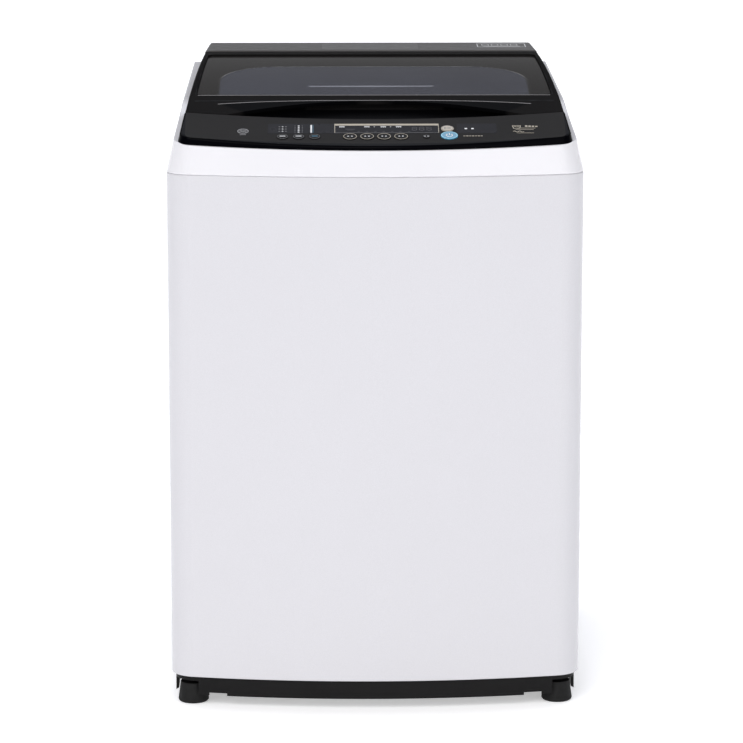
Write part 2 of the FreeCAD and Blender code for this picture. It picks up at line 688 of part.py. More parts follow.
def on_panel(across, up, lift=0):
    """A place on the control panel: across it, up its slope and out from its skin."""
    length = root(S.slope_run * S.slope_run + S.slope_rise * S.slope_rise)
    run, rise = S.slope_run / length, S.slope_rise / length
    return (across, -S.skin_front_y + up * run - lift * rise, S.skin_front_z + up * rise + lift * run)


PANEL_TILT = FreeCAD.Rotation(
    FreeCAD.Vector(1, 0, 0), math.degrees(math.atan2(SIZES["slope_rise"], SIZES["slope_run"]))
)


def tilted(item, where):
    """Turns an upright item to stand on the panel's slope."""
    item.Placement = FreeCAD.Placement(FreeCAD.Vector(), PANEL_TILT)
    return place(item, *where)


def panel_slab(name, across, up, lift):
    item = doc.addObject("Part::Box", name)
    bind(item, "Length", across[1] - across[0])
    bind(item, "Width", up[1] - up[0])
    bind(item, "Height", lift[1] - lift[0])
    return tilted(item, on_panel(across[0], up[0], lift[0]))


def button_places():
    """Label, radius, place across and place up the slope for each button."""
    places = []
    for index in range(3):
        across = -S.option_first + index * S.option_pitch
        places.append((f"option_button_{index + 1}", S.option_radius, across, S.button_row))
    for index in range(4):
        across = -S.setting_first + index * S.setting_pitch
        places.append((f"setting_button_{index + 1}", S.setting_radius, across, S.button_row))
    places.append(("child_lock_button", S.small_radius, S.small_place, S.button_row))
    places.append(("start_button", S.start_radius, S.start_place, S.start_row))
    places.append(("power_button", S.power_radius, S.power_place, S.power_row))
    return places


def build_panel():
    outer = common("PanelOuter", [
        black_block("PanelBlock", S.black_side_inset, S.black_front_inset),
        seam_side("PanelSeam", 0, True)])
    inner = common("PanelInner", [
        black_block("PanelHollow", S.black_side_inset + S.skin, S.black_front_inset + S.skin, S.skin, True),
        seam_side("PanelSeamInner", -S.skin, True)])
    cuts = [inner, below_rim("PanelRim")]
    windows = ((-S.lens_left, S.lens_right), (S.second_left, S.second_right))
    for index, across in enumerate(windows):
        cuts.append(panel_slab(f"LensSeat{index}", across, (S.lens_low, S.lens_high),
                               (-S.lens_depth, S.skin)))
    for label, radius, across, up in button_places():
        cuts.append(cylinder_on_panel(label + "Hole", radius + S.button_gap, across, up))
    keep("control_panel", cut("ControlPanel", outer, cuts))

    lenses = []
    for index, across in enumerate(windows):
        slab = panel_slab(f"Lens{index}", across, (S.lens_low, S.lens_high), (-S.lens_depth, S.lens_proud))
        lenses.append(slab)
    clear = [cylinder_on_panel("LensClear", S.start_radius + S.button_gap, S.start_place, S.start_row)]
    keep("display_lens", cut("DisplayLens", fuse("LensPair", lenses), clear))


def cylinder_on_panel(name, radius, across, up):
    """A round cutter that stands square to the panel and passes right through its skin."""
    item = doc.addObject("Part::Cylinder", name)
    bind(item, "Radius", radius)
    bind(item, "Height", 2 * S.hole_depth)
    return tilted(item, on_panel(across, up, -S.hole_depth))


def build_buttons():
    for label, radius, across, up in button_places():
        top, edge = S.button_proud, S.button_edge
        stem = radius * S.stem_share
        under = -S.button_shelf
        body = lathe(label + "Body", [
            (0, -S.button_foot), (stem, -S.button_foot), (stem, -S.button_seat),
            (radius + S.button_flange, -S.button_seat),
            (radius + S.button_flange, under), (radius, under), (radius, top - edge, edge),
            (radius - edge, top), (0, top),
        ])
        keep(label, tilted(body, on_panel(across, up)))


def build_control_box():
    lift = (-S.box_top - S.box_depth, -S.box_top)
    up = (S.box_low, S.box_high)
    wall = S.box_wall
    shell = panel_slab("ControlBoxShell", (-S.box_half, S.box_half), up, lift)
    hollow = panel_slab("ControlBoxHollow", (-S.box_half + wall, S.box_half - wall),
                        (up[0] + wall, up[1] - wall), (lift[0] + wall, lift[1] - wall))
    posts = []
    for side in (-1, 1):
        for row in (S.box_low + S.post_margin, S.box_high - S.post - S.post_margin):
            across = mirrored((S.box_half - S.post - S.post_inset, S.box_half - S.post_inset), side)
            posts.append(panel_slab(f"BoxPost{len(posts)}", across, (row, row + S.post),
                                    (-S.box_top, -S.skin - S.post_air)))
    keep("control_box", fuse("ControlBox", [cut("ControlBoxBody", shell, [hollow])] + posts))


def build_rear_deck():
    all_x = (-S.plan_reach, S.plan_reach)
    tall = (S.cabinet_top, S.top_limit)
    outer = common("DeckOuter", [
        black_block("DeckBlock", S.black_side_inset, S.black_front_inset),
        box("DeckArea", all_x, (S.deck_front, S.section_reach), tall)])
    inner = common("DeckInner", [
        black_block("DeckHollow", S.black_side_inset + S.skin, S.black_front_inset + S.skin, S.skin, True),
        box("DeckAreaInner", all_x, (S.deck_front + S.skin, S.section_reach), tall)])
    keep("rear_deck", cut("RearDeck", outer, [inner, below_rim("DeckRim")]))


# ---------------------------------------------------------------- lid

def window_plan(grow):
    slope = (S.window_front_half - S.window_back_half) / (S.window_front + S.window_back)
    front = S.window_front_half + grow + slope * grow
    back = S.window_back_half + grow - slope * grow
    return [(-front, -S.window_front - grow), (front, -S.window_front - grow),
            (back, S.window_back + grow), (-back, S.window_back + grow)]


def window_prism(name, grow):
    tall = (S.section_floor, S.top_limit)
    return prism(name, "XY", window_plan(grow), tall, [(S.window_corner, (0, 1, 2, 3))])


def scoop_prism(name, grow):
    """The lens-shaped finger scoop's plan: open to the seam, arched at the back."""
    centre = -S.scoop_ends - root(S.scoop_radius * S.scoop_radius - S.scoop_half * S.scoop_half)
    half, radius = S.scoop_half + grow * S.scoop_flare, S.scoop_radius + grow
    ends, reach = centre + root(radius * radius - half * half), -S.scoop_reach
    points = [(-half, reach), (half, reach), (half, ends, radius), (-half, ends)]
    return prism(name, "XY", points, (S.section_floor, S.top_limit))


def rear_round(name, radius):
    """Everything in front of the hinge axis, with a round back on that axis."""
    front = box(name + "Front", (-S.plan_reach, S.plan_reach), (-S.section_reach, S.hinge_y),
                (S.section_floor, S.top_limit))
    back = cylinder(name + "Back", radius, (-S.plan_reach, S.hinge_y, S.hinge_z), 2 * S.plan_reach, "X")
    return fuse(name, [front, back])


def above_skin(name, prism_body, drop):
    """The part of a vertical prism that is higher than the skin line less the drop."""
    return cut(name, prism_body, [below_skin(name + "Skin", drop)])


def build_lid():
    outer = common("LidOuter", [
        black_block("LidBlock", S.lid_side_inset, S.black_front_inset),
        seam_side("LidSeam", S.seam_gap, False), rear_round("LidRear", S.knuckle)])
    hollow = common("LidHollow", [
        black_block("LidInside", S.lid_side_inset + S.skin, S.black_front_inset + S.skin, S.skin, True),
        seam_side("LidSeamInner", S.seam_gap + S.skin, False),
        rear_round("LidRearInner", S.knuckle - S.skin)])
    ledge = cut("LidLedge", common("LidLedgeBand", [
        window_prism("LedgePrism", S.ledge_margin), below_skin("LedgeSkin", S.skin / 2)]),
        [below_skin("LedgeUnder", S.ledge_drop)])
    backing = above_skin("ScoopBacking", scoop_prism("ScoopBackPlan", S.scoop_undercut + S.scoop_wall),
                         S.scoop_drop + S.scoop_wall)
    space = cut("LidSpace", hollow, [ledge, backing])
    ribs = []
    for side in (-1, 1):
        ribs += hinge_part(f"LidRib{len(ribs)}", mirrored((S.rib_inner, S.rib_outer), side),
                           S.rib_radius, S.hinge_y - S.rib_radius, S.hinge_z - S.rib_drop)
        span = mirrored((S.rib_inner, S.rib_outer), side)
        ribs.append(box(f"LidRibTop{len(ribs)}", span, (S.hinge_y - S.rib_radius, S.hinge_y + S.rib_radius),
                        (S.hinge_z, S.skin_back_z - S.skin)))
    body = fuse("LidBody", [cut("LidShell", outer, [space])] + ribs)
    undercut = common("ScoopUndercut", [
        above_skin("UndercutSpace", scoop_prism("UndercutPlan", S.scoop_undercut), S.scoop_drop),
        below_skin("UndercutRoof", S.scoop_lip)])
    cuts = [
        above_skin("ScoopSpace", scoop_prism("ScoopPlan", 0), S.scoop_drop),
        undercut,
        above_skin("GlassSeat", window_prism("GlassSeatPlan", 0), S.glass_depth),
        window_prism("WindowHole", -S.glass_ledge),
        below_rim("LidRimClear", S.lid_rise),
        cut("LidLipCut", box("LidLipSpace", (-S.plan_reach, S.plan_reach),
                             (S.hinge_y - S.rib_radius, S.section_reach), (S.section_floor, S.lip_low)),
            [cylinder("LidRibKeep", S.rib_radius + S.rib_room, (-S.plan_reach, S.hinge_y, S.hinge_z),
                      2 * S.plan_reach, "X"),
             box("LidFrontKeep", (-S.plan_reach, S.plan_reach), (S.mouth_back, S.hinge_y),
                 (S.hinge_z - S.rib_radius, S.top_limit))]),
        cylinder("LidPinBore", S.pin_radius + S.running_gap, (-S.rib_outer - 1, S.hinge_y, S.hinge_z),
                 2 * S.rib_outer + 2, "X"),
    ]
    keep("lid_frame", cut("LidFrame", body, cuts))


def build_lid_glass():
    slab = common("GlassSlab", [window_prism("GlassPlan", -S.glass_gap),
                                below_skin("GlassTop", S.glass_drop)])
    step = prism("GlassStep", "XY", [
        (-S.plateau_front_half, -S.plateau_front), (S.plateau_front_half, -S.plateau_front),
        (S.plateau_front_half, S.plateau_shoulder), (S.plateau_back_half, S.plateau_back),
        (-S.plateau_back_half, S.plateau_back), (-S.plateau_front_half, S.plateau_shoulder),
    ], (S.section_floor, S.top_limit), [(S.plateau_round, (2, 3, 4, 5))])
    raised = common("GlassRaised", [step, below_skin("GlassStepTop", S.plateau_drop)])
    under = below_skin("GlassUnder", S.glass_depth)
    keep("lid_glass", cut("LidGlass", fuse("GlassSolid", [slab, raised]), [under]))

    band = cut("TrimBand", window_prism("TrimOuter", -S.trim_margin),
               [window_prism("TrimInner", -S.trim_margin - S.trim_width)])
    under_ledge = common("TrimUnder", [band, below_skin("TrimTop", S.ledge_drop)])
    keep("lid_inner_trim", cut("LidInnerTrim", under_ledge, [below_skin("TrimBottom", S.trim_drop)]))


def build_lid_hardware():
    buffers = []
    pins = []
    for side in (-1, 1):
        for y in (-S.buffer_front, S.buffer_back):
            start = (side * S.buffer_x, y, S.section_floor)
            buffers.append(cylinder(f"Buffer{len(buffers)}", S.buffer_radius, start,
                                    S.top_limit - S.section_floor))
        span = mirrored((S.pin_inner, S.pin_outer), side)
        pins.append(cylinder(f"HingePin{len(pins)}", S.pin_radius, (span[0], S.hinge_y, S.hinge_z),
                             span[1] - span[0], "X"))
    under = common("BufferLength", [fuse("BufferRods", buffers), below_skin("BufferTop", S.trim_drop)])
    keep("lid_buffers", cut("LidBuffers", under, [below_rim("BufferFoot")]))
    keep("lid_hinge_pins", fuse("LidHingePins", pins))


# ---------------------------------------------------------------- behind the mouth

def tray(name, x, y, z, wall, open_side):
    """A thin box with one side left open: "top" or "front"."""
    shell = box(name + "Shell", x, y, z)
    low_y = y[0] - 1 if open_side == "front" else y[0] + wall
    high_z = z[1] + 1 if open_side == "top" else z[1] - wall
    hollow = box(name + "Hollow", (x[0] + wall, x[1] - wall), (low_y, y[1] - wall), (z[0] + wall, high_z))
    return cut(name, shell, [hollow])


def build_detergent():
    half, room, wall = S.drawer_half, S.drawer_room, S.housing_wall
    keep("detergent_drawer", tray(
        "Drawer", (-half, half), (S.mouth_back, S.drawer_back), (S.drawer_low, S.drawer_high),
        S.drawer_wall, "top"))
    keep("detergent_housing", tray(
        "Housing", (-half - room - wall, half + room + wall), (S.mouth_back + S.frame_wall, S.housing_back),
        (S.drawer_low - room - wall, S.drawer_high + room + wall), wall, "front"))


def build_water_parts():
    spigot = cupped_spigot("InletSpigot", S.inlet_place, S.inlet_height, S.inlet_cup, S.inlet_spigot,
                           S.inlet_bore, S.inlet_stub)
    block = S.inlet_box
    body = box("InletBody", (S.inlet_place - block, S.inlet_place + block),
               (S.inlet_front, S.rear_face - S.cup_depth - S.inlet_stub),
               (S.inlet_height - block, S.inlet_height + block))
    coil = cylinder("InletCoil", S.coil_radius,
                    (S.inlet_place, S.inlet_front + S.coil_place, S.inlet_height - block - S.coil_height),
                    S.coil_height)
    side = S.drawer_half + S.drawer_room + S.housing_wall
    pipe = cylinder("InletPipe", S.inlet_pipe, (side, S.inlet_front + S.inlet_pipe_place, S.inlet_height),
                    S.inlet_place - block - side, "X")
    keep("inlet_valve", fuse("InletValve", [spigot, body, coil, pipe]))

    where = (-S.sensor_place, S.sensor_y, S.sensor_low)
    drum = cylinder("SensorDrum", S.sensor_radius, where, S.sensor_height)
    cap = cylinder("SensorCap", S.sensor_cap, (where[0], where[1], S.sensor_low + S.sensor_height),
                   S.sensor_cap_height)
    nipple = cylinder("SensorNipple", S.nipple_radius, (where[0], where[1], S.sensor_low - S.nipple_length),
                      S.nipple_length)
    bracket = box("SensorBracket", (where[0] - S.sensor_arm, where[0] + S.sensor_arm),
                  (S.sensor_y, S.frame_back - S.frame_wall),
                  (S.sensor_low, S.sensor_low + S.sensor_arm_thick))
    keep("pressure_sensor", fuse("PressureSensor", [drum, cap, nipple, bracket]))


# ---------------------------------------------------------------- suspension

def build_suspension():
    rods, brackets, springs = [], [], []
    for index, (side_x, side_y) in enumerate(corners()):
        where = (side_x * S.rod_place, side_y * S.rod_place)
        top = S.bracket_low + S.bracket_thick
        rods.append(cylinder(f"Rod{index}", S.rod_radius, (*where, S.rod_bottom), top - S.rod_bottom))
        rods.append(cylinder(f"RodHead{index}", S.head_radius, (*where, top), S.head_height))
        rods.append(cylinder(f"RodCup{index}", S.cup_radius, (*where, S.rod_bottom), S.cup_thick))

        wall_x = S.cabinet_width / 2 - S.steel
        plate = box(f"Bracket{index}", mirrored((S.bracket_inner, wall_x), side_x),
                    mirrored((S.bracket_front, S.bracket_reach), side_y), (S.bracket_low, top))
        flange = box(f"BracketFlange{index}", mirrored((wall_x - S.bracket_thick, wall_x), side_x),
                     mirrored((S.bracket_front, S.bracket_reach), side_y),
                     (S.bracket_flange, S.cabinet_top - S.steel))
        hole = cylinder(f"BracketHole{index}", S.bracket_hole, (*where, S.bracket_low - 1),
                        2 * S.bracket_thick)
        brackets.append(cut(f"BracketSolid{index}", fuse(f"BracketPair{index}", [plate, flange]), [hole]))

        low = S.rod_bottom + S.cup_thick
        springs.append(tube(f"Spring{index}", S.spring_radius + S.spring_wire,
                            S.spring_radius - S.spring_wire, (*where, low), S.damper_low - low))
    keep("suspension_rods", fuse("SuspensionRods", rods))
    keep("suspension_brackets", fuse("SuspensionBrackets", brackets))
    keep("suspension_springs", fuse("SuspensionSprings", springs))


# ---------------------------------------------------------------- tubs

def turned_about_z(item, angle):
    item.Placement = FreeCAD.Placement(FreeCAD.Vector(), FreeCAD.Rotation(FreeCAD.Vector(0, 0, 1), angle))
    return item


def build_tub():
    shell = lathe("TubShell", [
        (S.tub_hole, S.tub_bottom), (S.tub_radius, S.tub_bottom), (S.tub_radius, S.tub_top),
        (S.tub_radius - S.tub_wall, S.tub_top), (S.tub_radius - S.tub_wall, S.tub_bottom + S.tub_wall),
        (S.tub_hole, S.tub_bottom + S.tub_wall),
    ])
    lugs, holes, cups = [], [], []
    for index, (side_x, side_y) in enumerate(corners()):
        where = (side_x * S.rod_place, side_y * S.rod_place)
        angle = math.degrees(math.atan2(side_y, side_x))
        arm = fuse(f"Lug{index}", [
            box(f"LugTop{index}", (S.tub_radius - S.tub_wall, S.lug_end), (-S.lug_half, S.lug_half),
                (S.lug_low, S.lug_high)),
            box(f"LugWeb{index}", (S.tub_radius - S.tub_wall, S.tub_radius + S.web_reach),
                (-S.web_half, S.web_half), (S.lug_low - S.web_height, S.lug_low)),
        ])
        lugs.append(turned_about_z(arm, angle))
        holes.append(cylinder(f"LugHole{index}", S.lug_hole, (*where, S.lug_low - 1), 30))
        cups.append(tube(f"DamperCup{index}", S.damper_radius, S.damper_hole, (*where, S.damper_low),
                         S.lug_low - S.damper_low))
    keep("outer_tub", cut("OuterTub", fuse("TubSolid", [shell] + lugs), holes))
    keep("damper_cups", fuse("DamperCups", cups))
    keep("tub_ring_cover", lathe("RingCover", [
        (S.cover_inner, S.tub_top), (S.cover_radius, S.tub_top), (S.cover_radius, S.cover_edge),
        (S.cover_shoulder, S.cover_high), (S.cover_mouth, S.cover_high),
        (S.cover_mouth, S.cover_high - S.cover_lip), (S.cover_inner, S.cover_under),
    ]))
    keep("tub_seal", lathe("TubSeal", [
        (S.sleeve_radius + S.shaft_gap, S.tub_bottom), (S.tub_hole, S.tub_bottom),
        (S.tub_hole, S.tub_bottom + S.tub_wall), (S.seal_radius, S.tub_bottom + S.tub_wall),
        (S.seal_top_radius, S.seal_high), (S.sleeve_radius + S.shaft_gap, S.seal_high),
    ]))


def build_basket():
    wall = S.basket_wall
    shell = lathe("BasketShell", [
        (S.basket_hole, S.basket_bottom), (S.basket_radius, S.basket_bottom),
        (S.basket_radius, S.basket_top), (S.basket_radius - wall, S.basket_top),
        (S.basket_radius - wall, S.basket_bottom + wall), (S.basket_hole, S.basket_bottom + wall),
    ])
    holes = []
    step = 360 / SIZES["hole_columns"]
    for column in range(SIZES["hole_columns"] // 2):
        for level in range(SIZES["hole_rows"]):
            height = S.hole_low + level * S.hole_pitch
            hole = doc.addObject("Part::Cylinder", f"Hole{column}_{level}")
            bind(hole, "Radius", S.hole_radius)
            bind(hole, "Height", 2 * S.tub_radius)
            angle = math.radians(step * (column + 0.5 * (level % 2)) + step / 4)
            direction = FreeCAD.Vector(math.cos(angle), math.sin(angle), 0)
            hole.Placement = FreeCAD.Placement(
                FreeCAD.Vector(), FreeCAD.Rotation(FreeCAD.Vector(0, 0, 1), direction))
            holes.append(place(hole, -direction.x * S.tub_radius, -direction.y * S.tub_radius, height))
    keep("wash_basket", cut("WashBasket", shell, holes))

    edge = S.ring_round
    keep("balance_ring", lathe("BalanceRing", [
        (S.ring_inner, S.ring_bottom), (S.ring_outer, S.ring_bottom), (S.ring_outer, S.ring_top - edge, edge),
        (S.ring_outer - edge, S.ring_top), (S.ring_inner + edge, S.ring_top, edge),
        (S.ring_inner, S.ring_top - edge),
    ]))
    keep("basket_flange", lathe("BasketFlange", [
        (S.sleeve_radius, S.flange_low), (S.flange_radius, S.flange_low), (S.flange_radius, S.basket_bottom),
        (S.sleeve_radius, S.basket_bottom),
    ]))
    keep("basket_shaft", tube("BasketShaft", S.sleeve_radius, S.shaft_radius + S.shaft_gap,
                              (0, 0, S.sleeve_bottom), S.basket_bottom + wall - S.sleeve_bottom))
    frame = box("FilterBlock", (-S.filter_half, S.filter_half),
                (S.filter_face, S.tub_radius), (S.filter_low, S.filter_high))
    limit = lathe("FilterLimit", [
        (0, S.filter_low), (S.basket_radius - wall, S.filter_low), (S.basket_radius - wall, S.filter_high),
        (0, S.filter_high),
    ])
    pocket = box("FilterPocket", (-S.filter_half + S.filter_side, S.filter_half - S.filter_side),
                 (S.filter_face - 1, S.filter_floor),
                 (S.filter_low + S.filter_end, S.filter_high - S.filter_end))
    keep("lint_filter", cut("LintFilter", common("FilterBody", [frame, limit]), [pocket]))


def build_pulsator():
    disc = S.pulsator_low + S.pulsator_disc
    dish = lathe("PulsatorDish", [
        (S.shaft_radius, S.pulsator_low), (S.pulsator_radius, S.pulsator_low), (S.pulsator_radius, disc),
        (S.dome_radius, disc + S.dish_rise), (S.cap_radius, S.dome_high), (S.shaft_radius, S.dome_high),
    ])
    vanes = []
    for index in range(SIZES["vane_count"]):
        half = S.vane_width / 2
        vane = prism(f"Vane{index}", "YZ", [
            (-half, disc - S.vane_root), (half, disc - S.vane_root),
            (half / 3, S.vane_high), (-half / 3, S.vane_high),
        ], (S.hub_radius, S.vane_length), [(S.vane_round, (2, 3))])
        vanes.append(turned_about_z(vane, index * 360 / SIZES["vane_count"]))
    keep("pulsator", fuse("Pulsator", [dish] + vanes))
    keep("pulsator_screw", lathe("PulsatorScrew", [
        (0, S.dome_high), (S.cap_radius, S.dome_high), (S.cap_radius, S.cap_high - S.cap_round, S.cap_round),
        (S.cap_radius - S.cap_round, S.cap_high), (0, S.cap_high),
    ]))
    keep("pulsator_shaft", cylinder("PulsatorShaft", S.shaft_radius, (0, 0, S.shaft_bottom),
                                    S.dome_high - S.shaft_bottom))


# ---------------------------------------------------------------- drive below the tub

def build_support():
    ring = tube("SupportRing", S.support_radius, S.support_ring, (0, 0, S.support_low),
                S.tub_bottom - S.support_low)
    hub = cylinder("SupportHub", S.clutch_flange, (0, 0, S.support_low), S.tub_bottom - S.support_low)
    long_side = (-S.support_radius + 5, S.support_radius - 5)
    short_side = (-S.support_arm, S.support_arm)
    arms = [box("SupportArmAcross", long_side, short_side, (S.support_low, S.tub_bottom)),
            box("SupportArmAlong", short_side, long_side, (S.support_low, S.tub_bottom))]
    thick = S.tub_bottom - S.support_low
    pads = [cylinder("ActuatorPad", S.actuator_pad, (-S.actuator_pad_x, -S.actuator_y, S.support_low), thick),
            cylinder("ValvePad", S.valve_radius, (-S.valve_x, S.valve_y, S.support_low), thick)]
    bore = cylinder("SupportBore", S.sleeve_radius + S.shaft_gap, (0, 0, 0), S.tub_top)
    keep("tub_support", cut("TubSupport", fuse("SupportSolid", [ring, hub] + arms + pads), [bore]))


def build_clutch():
    inner = S.clutch_radius - S.clutch_wall
    gap = S.shaft_gap
    shell = lathe("ClutchShell", [
        (S.shaft_radius + gap, S.clutch_low), (S.clutch_radius, S.clutch_low),
        (S.clutch_radius, S.support_low - S.clutch_wall), (S.clutch_flange, S.support_low - S.clutch_wall),
        (S.clutch_flange, S.support_low), (S.sleeve_radius + gap, S.support_low),
        (S.sleeve_radius + gap, S.support_low - S.clutch_wall), (inner, S.support_low - S.clutch_wall),
        (inner, S.clutch_low + S.clutch_wall), (S.shaft_radius + gap, S.clutch_low + S.clutch_wall),
    ])
    pivot = (-S.lever_pivot_x, -S.lever_pivot_y)
    ear = box("LeverEar", (-S.lever_pivot_x - S.lever_boss, -S.clutch_radius / 2),
              (-S.lever_pivot_y - S.lever_boss, -S.lever_pivot_y / 2),
              (S.lever_low - 8, S.lever_low - 2))
    core = cylinder("EarLimit", S.clutch_radius - 1, (0, 0, 0), S.tub_top)
    pin = cylinder("LeverPin", S.lever_pin, (*pivot, S.lever_low - 4), S.lever_thick + 7)
    keep("clutch_housing", fuse("ClutchHousing", [shell, cut("EarOutside", ear, [core]), pin]))

    arm = box("LeverArm", (-S.lever_pivot_x - S.lever_length, -S.lever_pivot_x),
              (-S.lever_pivot_y - S.lever_width / 2, -S.lever_pivot_y + S.lever_width / 2),
              (S.lever_low, S.lever_low + S.lever_thick))
    boss = cylinder("LeverBoss", S.lever_boss, (*pivot, S.lever_low), S.lever_thick)
    bore = cylinder("LeverBore", S.lever_pin + S.running_gap, (*pivot, S.lever_low - 1), 20)
    keep("brake_lever", cut("BrakeLever", fuse("LeverSolid", [arm, boss]), [bore]))
    half = S.actuator_half
    keep("clutch_actuator", box("ClutchActuator", (-S.actuator_x, -S.actuator_x + S.actuator_length),
                                (-S.actuator_y - half, -S.actuator_y + half),
                                (S.support_low - S.actuator_height, S.support_low)))
    valve = cylinder("ValveBody", S.valve_radius, (-S.valve_x, S.valve_y, S.valve_low),
                     S.support_low - S.valve_low)
    pipe = cylinder("ValvePipe", S.valve_pipe, (-S.valve_x, S.valve_y, S.valve_low + S.valve_lift),
                    S.valve_reach, "Y")
    bore = cylinder("ValveBore", S.valve_pipe - S.valve_wall,
                    (-S.valve_x, S.valve_y + S.valve_radius, S.valve_low + S.valve_lift),
                    S.valve_reach, "Y")
    keep("drain_valve", cut("DrainValve", fuse("ValveSolid", [valve, pipe]), [bore]))


def belt_loop(name, grow, span):
    """The solid outline round both pulleys, standing grow out from the smaller of their grooves."""
    large, small = S.pulley_radius + grow, S.motor_pulley + grow
    cosine = (large - small) / S.motor_place
    sine = root(1 - cosine * cosine)
    web = prism(name + "Web", "XY", [
        (large * cosine, -large * sine), (S.motor_place + small * cosine, -small * sine),
        (S.motor_place + small * cosine, small * sine), (large * cosine, large * sine),
    ], span)
    height = span[1] - span[0]
    wheel = cylinder(name + "Large", large, (0, 0, span[0]), height)
    return fuse(name, [web, wheel, cylinder(name + "Small", small, (S.motor_place, 0, span[0]), height)])


def grooved_wheel(name, radius, bottom, hub, shaft, top):
    """A flat-belt wheel between two rims, with a hub below it and a shaft above it."""
    floor = radius - S.belt_gap
    rim = radius + S.groove
    return lathe(name, [
        (0, bottom), (hub, bottom), (hub, S.pulley_low + 1), (rim, S.pulley_low + 1),
        (rim, S.belt_low - 1), (floor, S.belt_low - 1), (floor, S.belt_high + 1), (rim, S.belt_high + 1),
        (rim, S.pulley_high), (shaft, S.pulley_high), (shaft, top), (0, top),
    ])


def build_drive():
    keep("drive_pulley", grooved_wheel("DrivePulley", S.pulley_radius, S.input_bottom, S.hub_radius,
                                       S.shaft_radius, S.input_top))
    span = (S.belt_low, S.belt_high)
    keep("drive_belt", cut("DriveBelt", belt_loop("BeltOuter", S.belt_thick, span),
                           [belt_loop("BeltInner", 0, span)]))
    where = (S.motor_place, 0)
    can = cylinder("MotorCan", S.motor_radius, (*where, S.motor_low),
                   S.support_low - S.motor_low - S.motor_air)
    bore = cylinder("MotorBore", S.motor_shaft + S.running_gap, (*where, 0), S.motor_wheel_top)
    lugs = []
    for index in range(SIZES["motor_lugs"]):
        angle = math.radians(45 + index * 90)
        reach = S.motor_radius - 2
        centre = (S.motor_place + math.cos(angle) * reach, math.sin(angle) * reach)
        lugs.append(cylinder(f"MotorLug{index}", S.motor_lug, (*centre, S.support_low - 30), 30))
    plate = box("MotorPlate", (S.motor_place - S.motor_radius, S.motor_place + S.motor_radius),
                (-S.motor_radius, S.motor_radius), (S.support_low - S.motor_plate, S.support_low))
    room = cylinder("MotorPlateRoom", S.clutch_flange + 1, (0, 0, 0), S.tub_top)
    keep("motor", cut("Motor", fuse("MotorSolid", [can] + lugs + [cut("PlateCut", plate, [room])]), [bore]))
    wheel = grooved_wheel("MotorWheel", S.motor_pulley, S.pulley_low, S.motor_pulley, S.motor_shaft,
                          S.motor_wheel_top)
    keep("motor_pulley", place(wheel, S.motor_place))


# ---------------------------------------------------------------- build, check and write

for build in (
    build_cabinet, build_back_panel, build_rear_fittings, build_base_frame, build_feet,
    build_top_frame, build_panel, build_buttons, build_control_box, build_rear_deck,
    build_lid, build_lid_glass, build_lid_hardware, build_detergent, build_water_parts,
    build_suspension, build_tub, build_basket, build_pulsator, build_support, build_clutch, build_drive,
):
    build()
doc.recompute()

failed = [item.Name for item in doc.Objects if {"Invalid", "Error"} & set(item.State)]
if failed:
    raise RuntimeError(f"these objects failed: {failed}")
for item in kept:
    if item.Shape.isNull() or not item.Shape.isValid() or not item.Shape.Solids:
        raise RuntimeError(f"{item.Label} has no valid solid")

os.makedirs("parts", exist_ok=True)
for item in kept:
    item.Shape.exportStep(f"parts/{item.Label}.step")
    bounds = item.Shape.BoundBox
    print(f"{item.Label}: {len(item.Shape.Solids)} solid, {item.Shape.Volume / 1000:.1f} cm3, "
          f"x {bounds.XMin:.1f} to {bounds.XMax:.1f}, y {bounds.YMin:.1f} to {bounds.YMax:.1f}, "
          f"z {bounds.ZMin:.1f} to {bounds.ZMax:.1f}")
print(f"{len(kept)} parts")
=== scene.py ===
import json
import math

import bmesh
import bpy
from mathutils import Matrix, Vector


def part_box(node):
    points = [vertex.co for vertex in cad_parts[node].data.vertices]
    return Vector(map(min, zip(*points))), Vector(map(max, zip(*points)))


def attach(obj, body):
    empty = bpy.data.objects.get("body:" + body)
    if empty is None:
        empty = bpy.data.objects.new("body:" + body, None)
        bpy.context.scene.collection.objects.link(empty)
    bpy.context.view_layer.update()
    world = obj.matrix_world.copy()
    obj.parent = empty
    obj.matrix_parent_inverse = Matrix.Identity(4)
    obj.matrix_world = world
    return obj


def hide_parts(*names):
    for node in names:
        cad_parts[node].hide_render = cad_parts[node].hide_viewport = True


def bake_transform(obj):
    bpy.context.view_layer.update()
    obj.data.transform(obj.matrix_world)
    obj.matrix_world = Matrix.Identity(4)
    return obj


# Top load washing machine. Metres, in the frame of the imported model: X runs to the right,
# the front faces -Y, Z is up, and the floor is at Z = 0.

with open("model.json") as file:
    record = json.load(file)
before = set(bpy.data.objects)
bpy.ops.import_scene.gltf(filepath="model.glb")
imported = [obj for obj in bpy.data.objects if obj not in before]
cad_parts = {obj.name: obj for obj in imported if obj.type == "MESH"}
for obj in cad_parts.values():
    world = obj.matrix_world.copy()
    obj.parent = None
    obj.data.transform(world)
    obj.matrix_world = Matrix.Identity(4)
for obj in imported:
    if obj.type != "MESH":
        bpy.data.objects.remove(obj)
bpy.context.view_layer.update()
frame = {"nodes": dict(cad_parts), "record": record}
nodes = frame["nodes"]
MM = 0.001

# The sizes and places from here to the camera are in millimetres, unless a comment says otherwise.

# The control panel's flat slope, as in the CAD model, and how far things stand off it.
PANEL_FRONT_Y, PANEL_FRONT_Z = -288, 831
PANEL_RUN, PANEL_RISE = 158, 52
PANEL_LENGTH = math.hypot(PANEL_RUN, PANEL_RISE)
LENS_PROUD, BUTTON_PROUD = 0.2, 1.2

# The panel's satin area: its half width, its front edge's bow (1/m) and its corners (square metres).
SATIN_HALF, SATIN_BOW, SATIN_CORNER = 273.5, 0.3, 0.00004

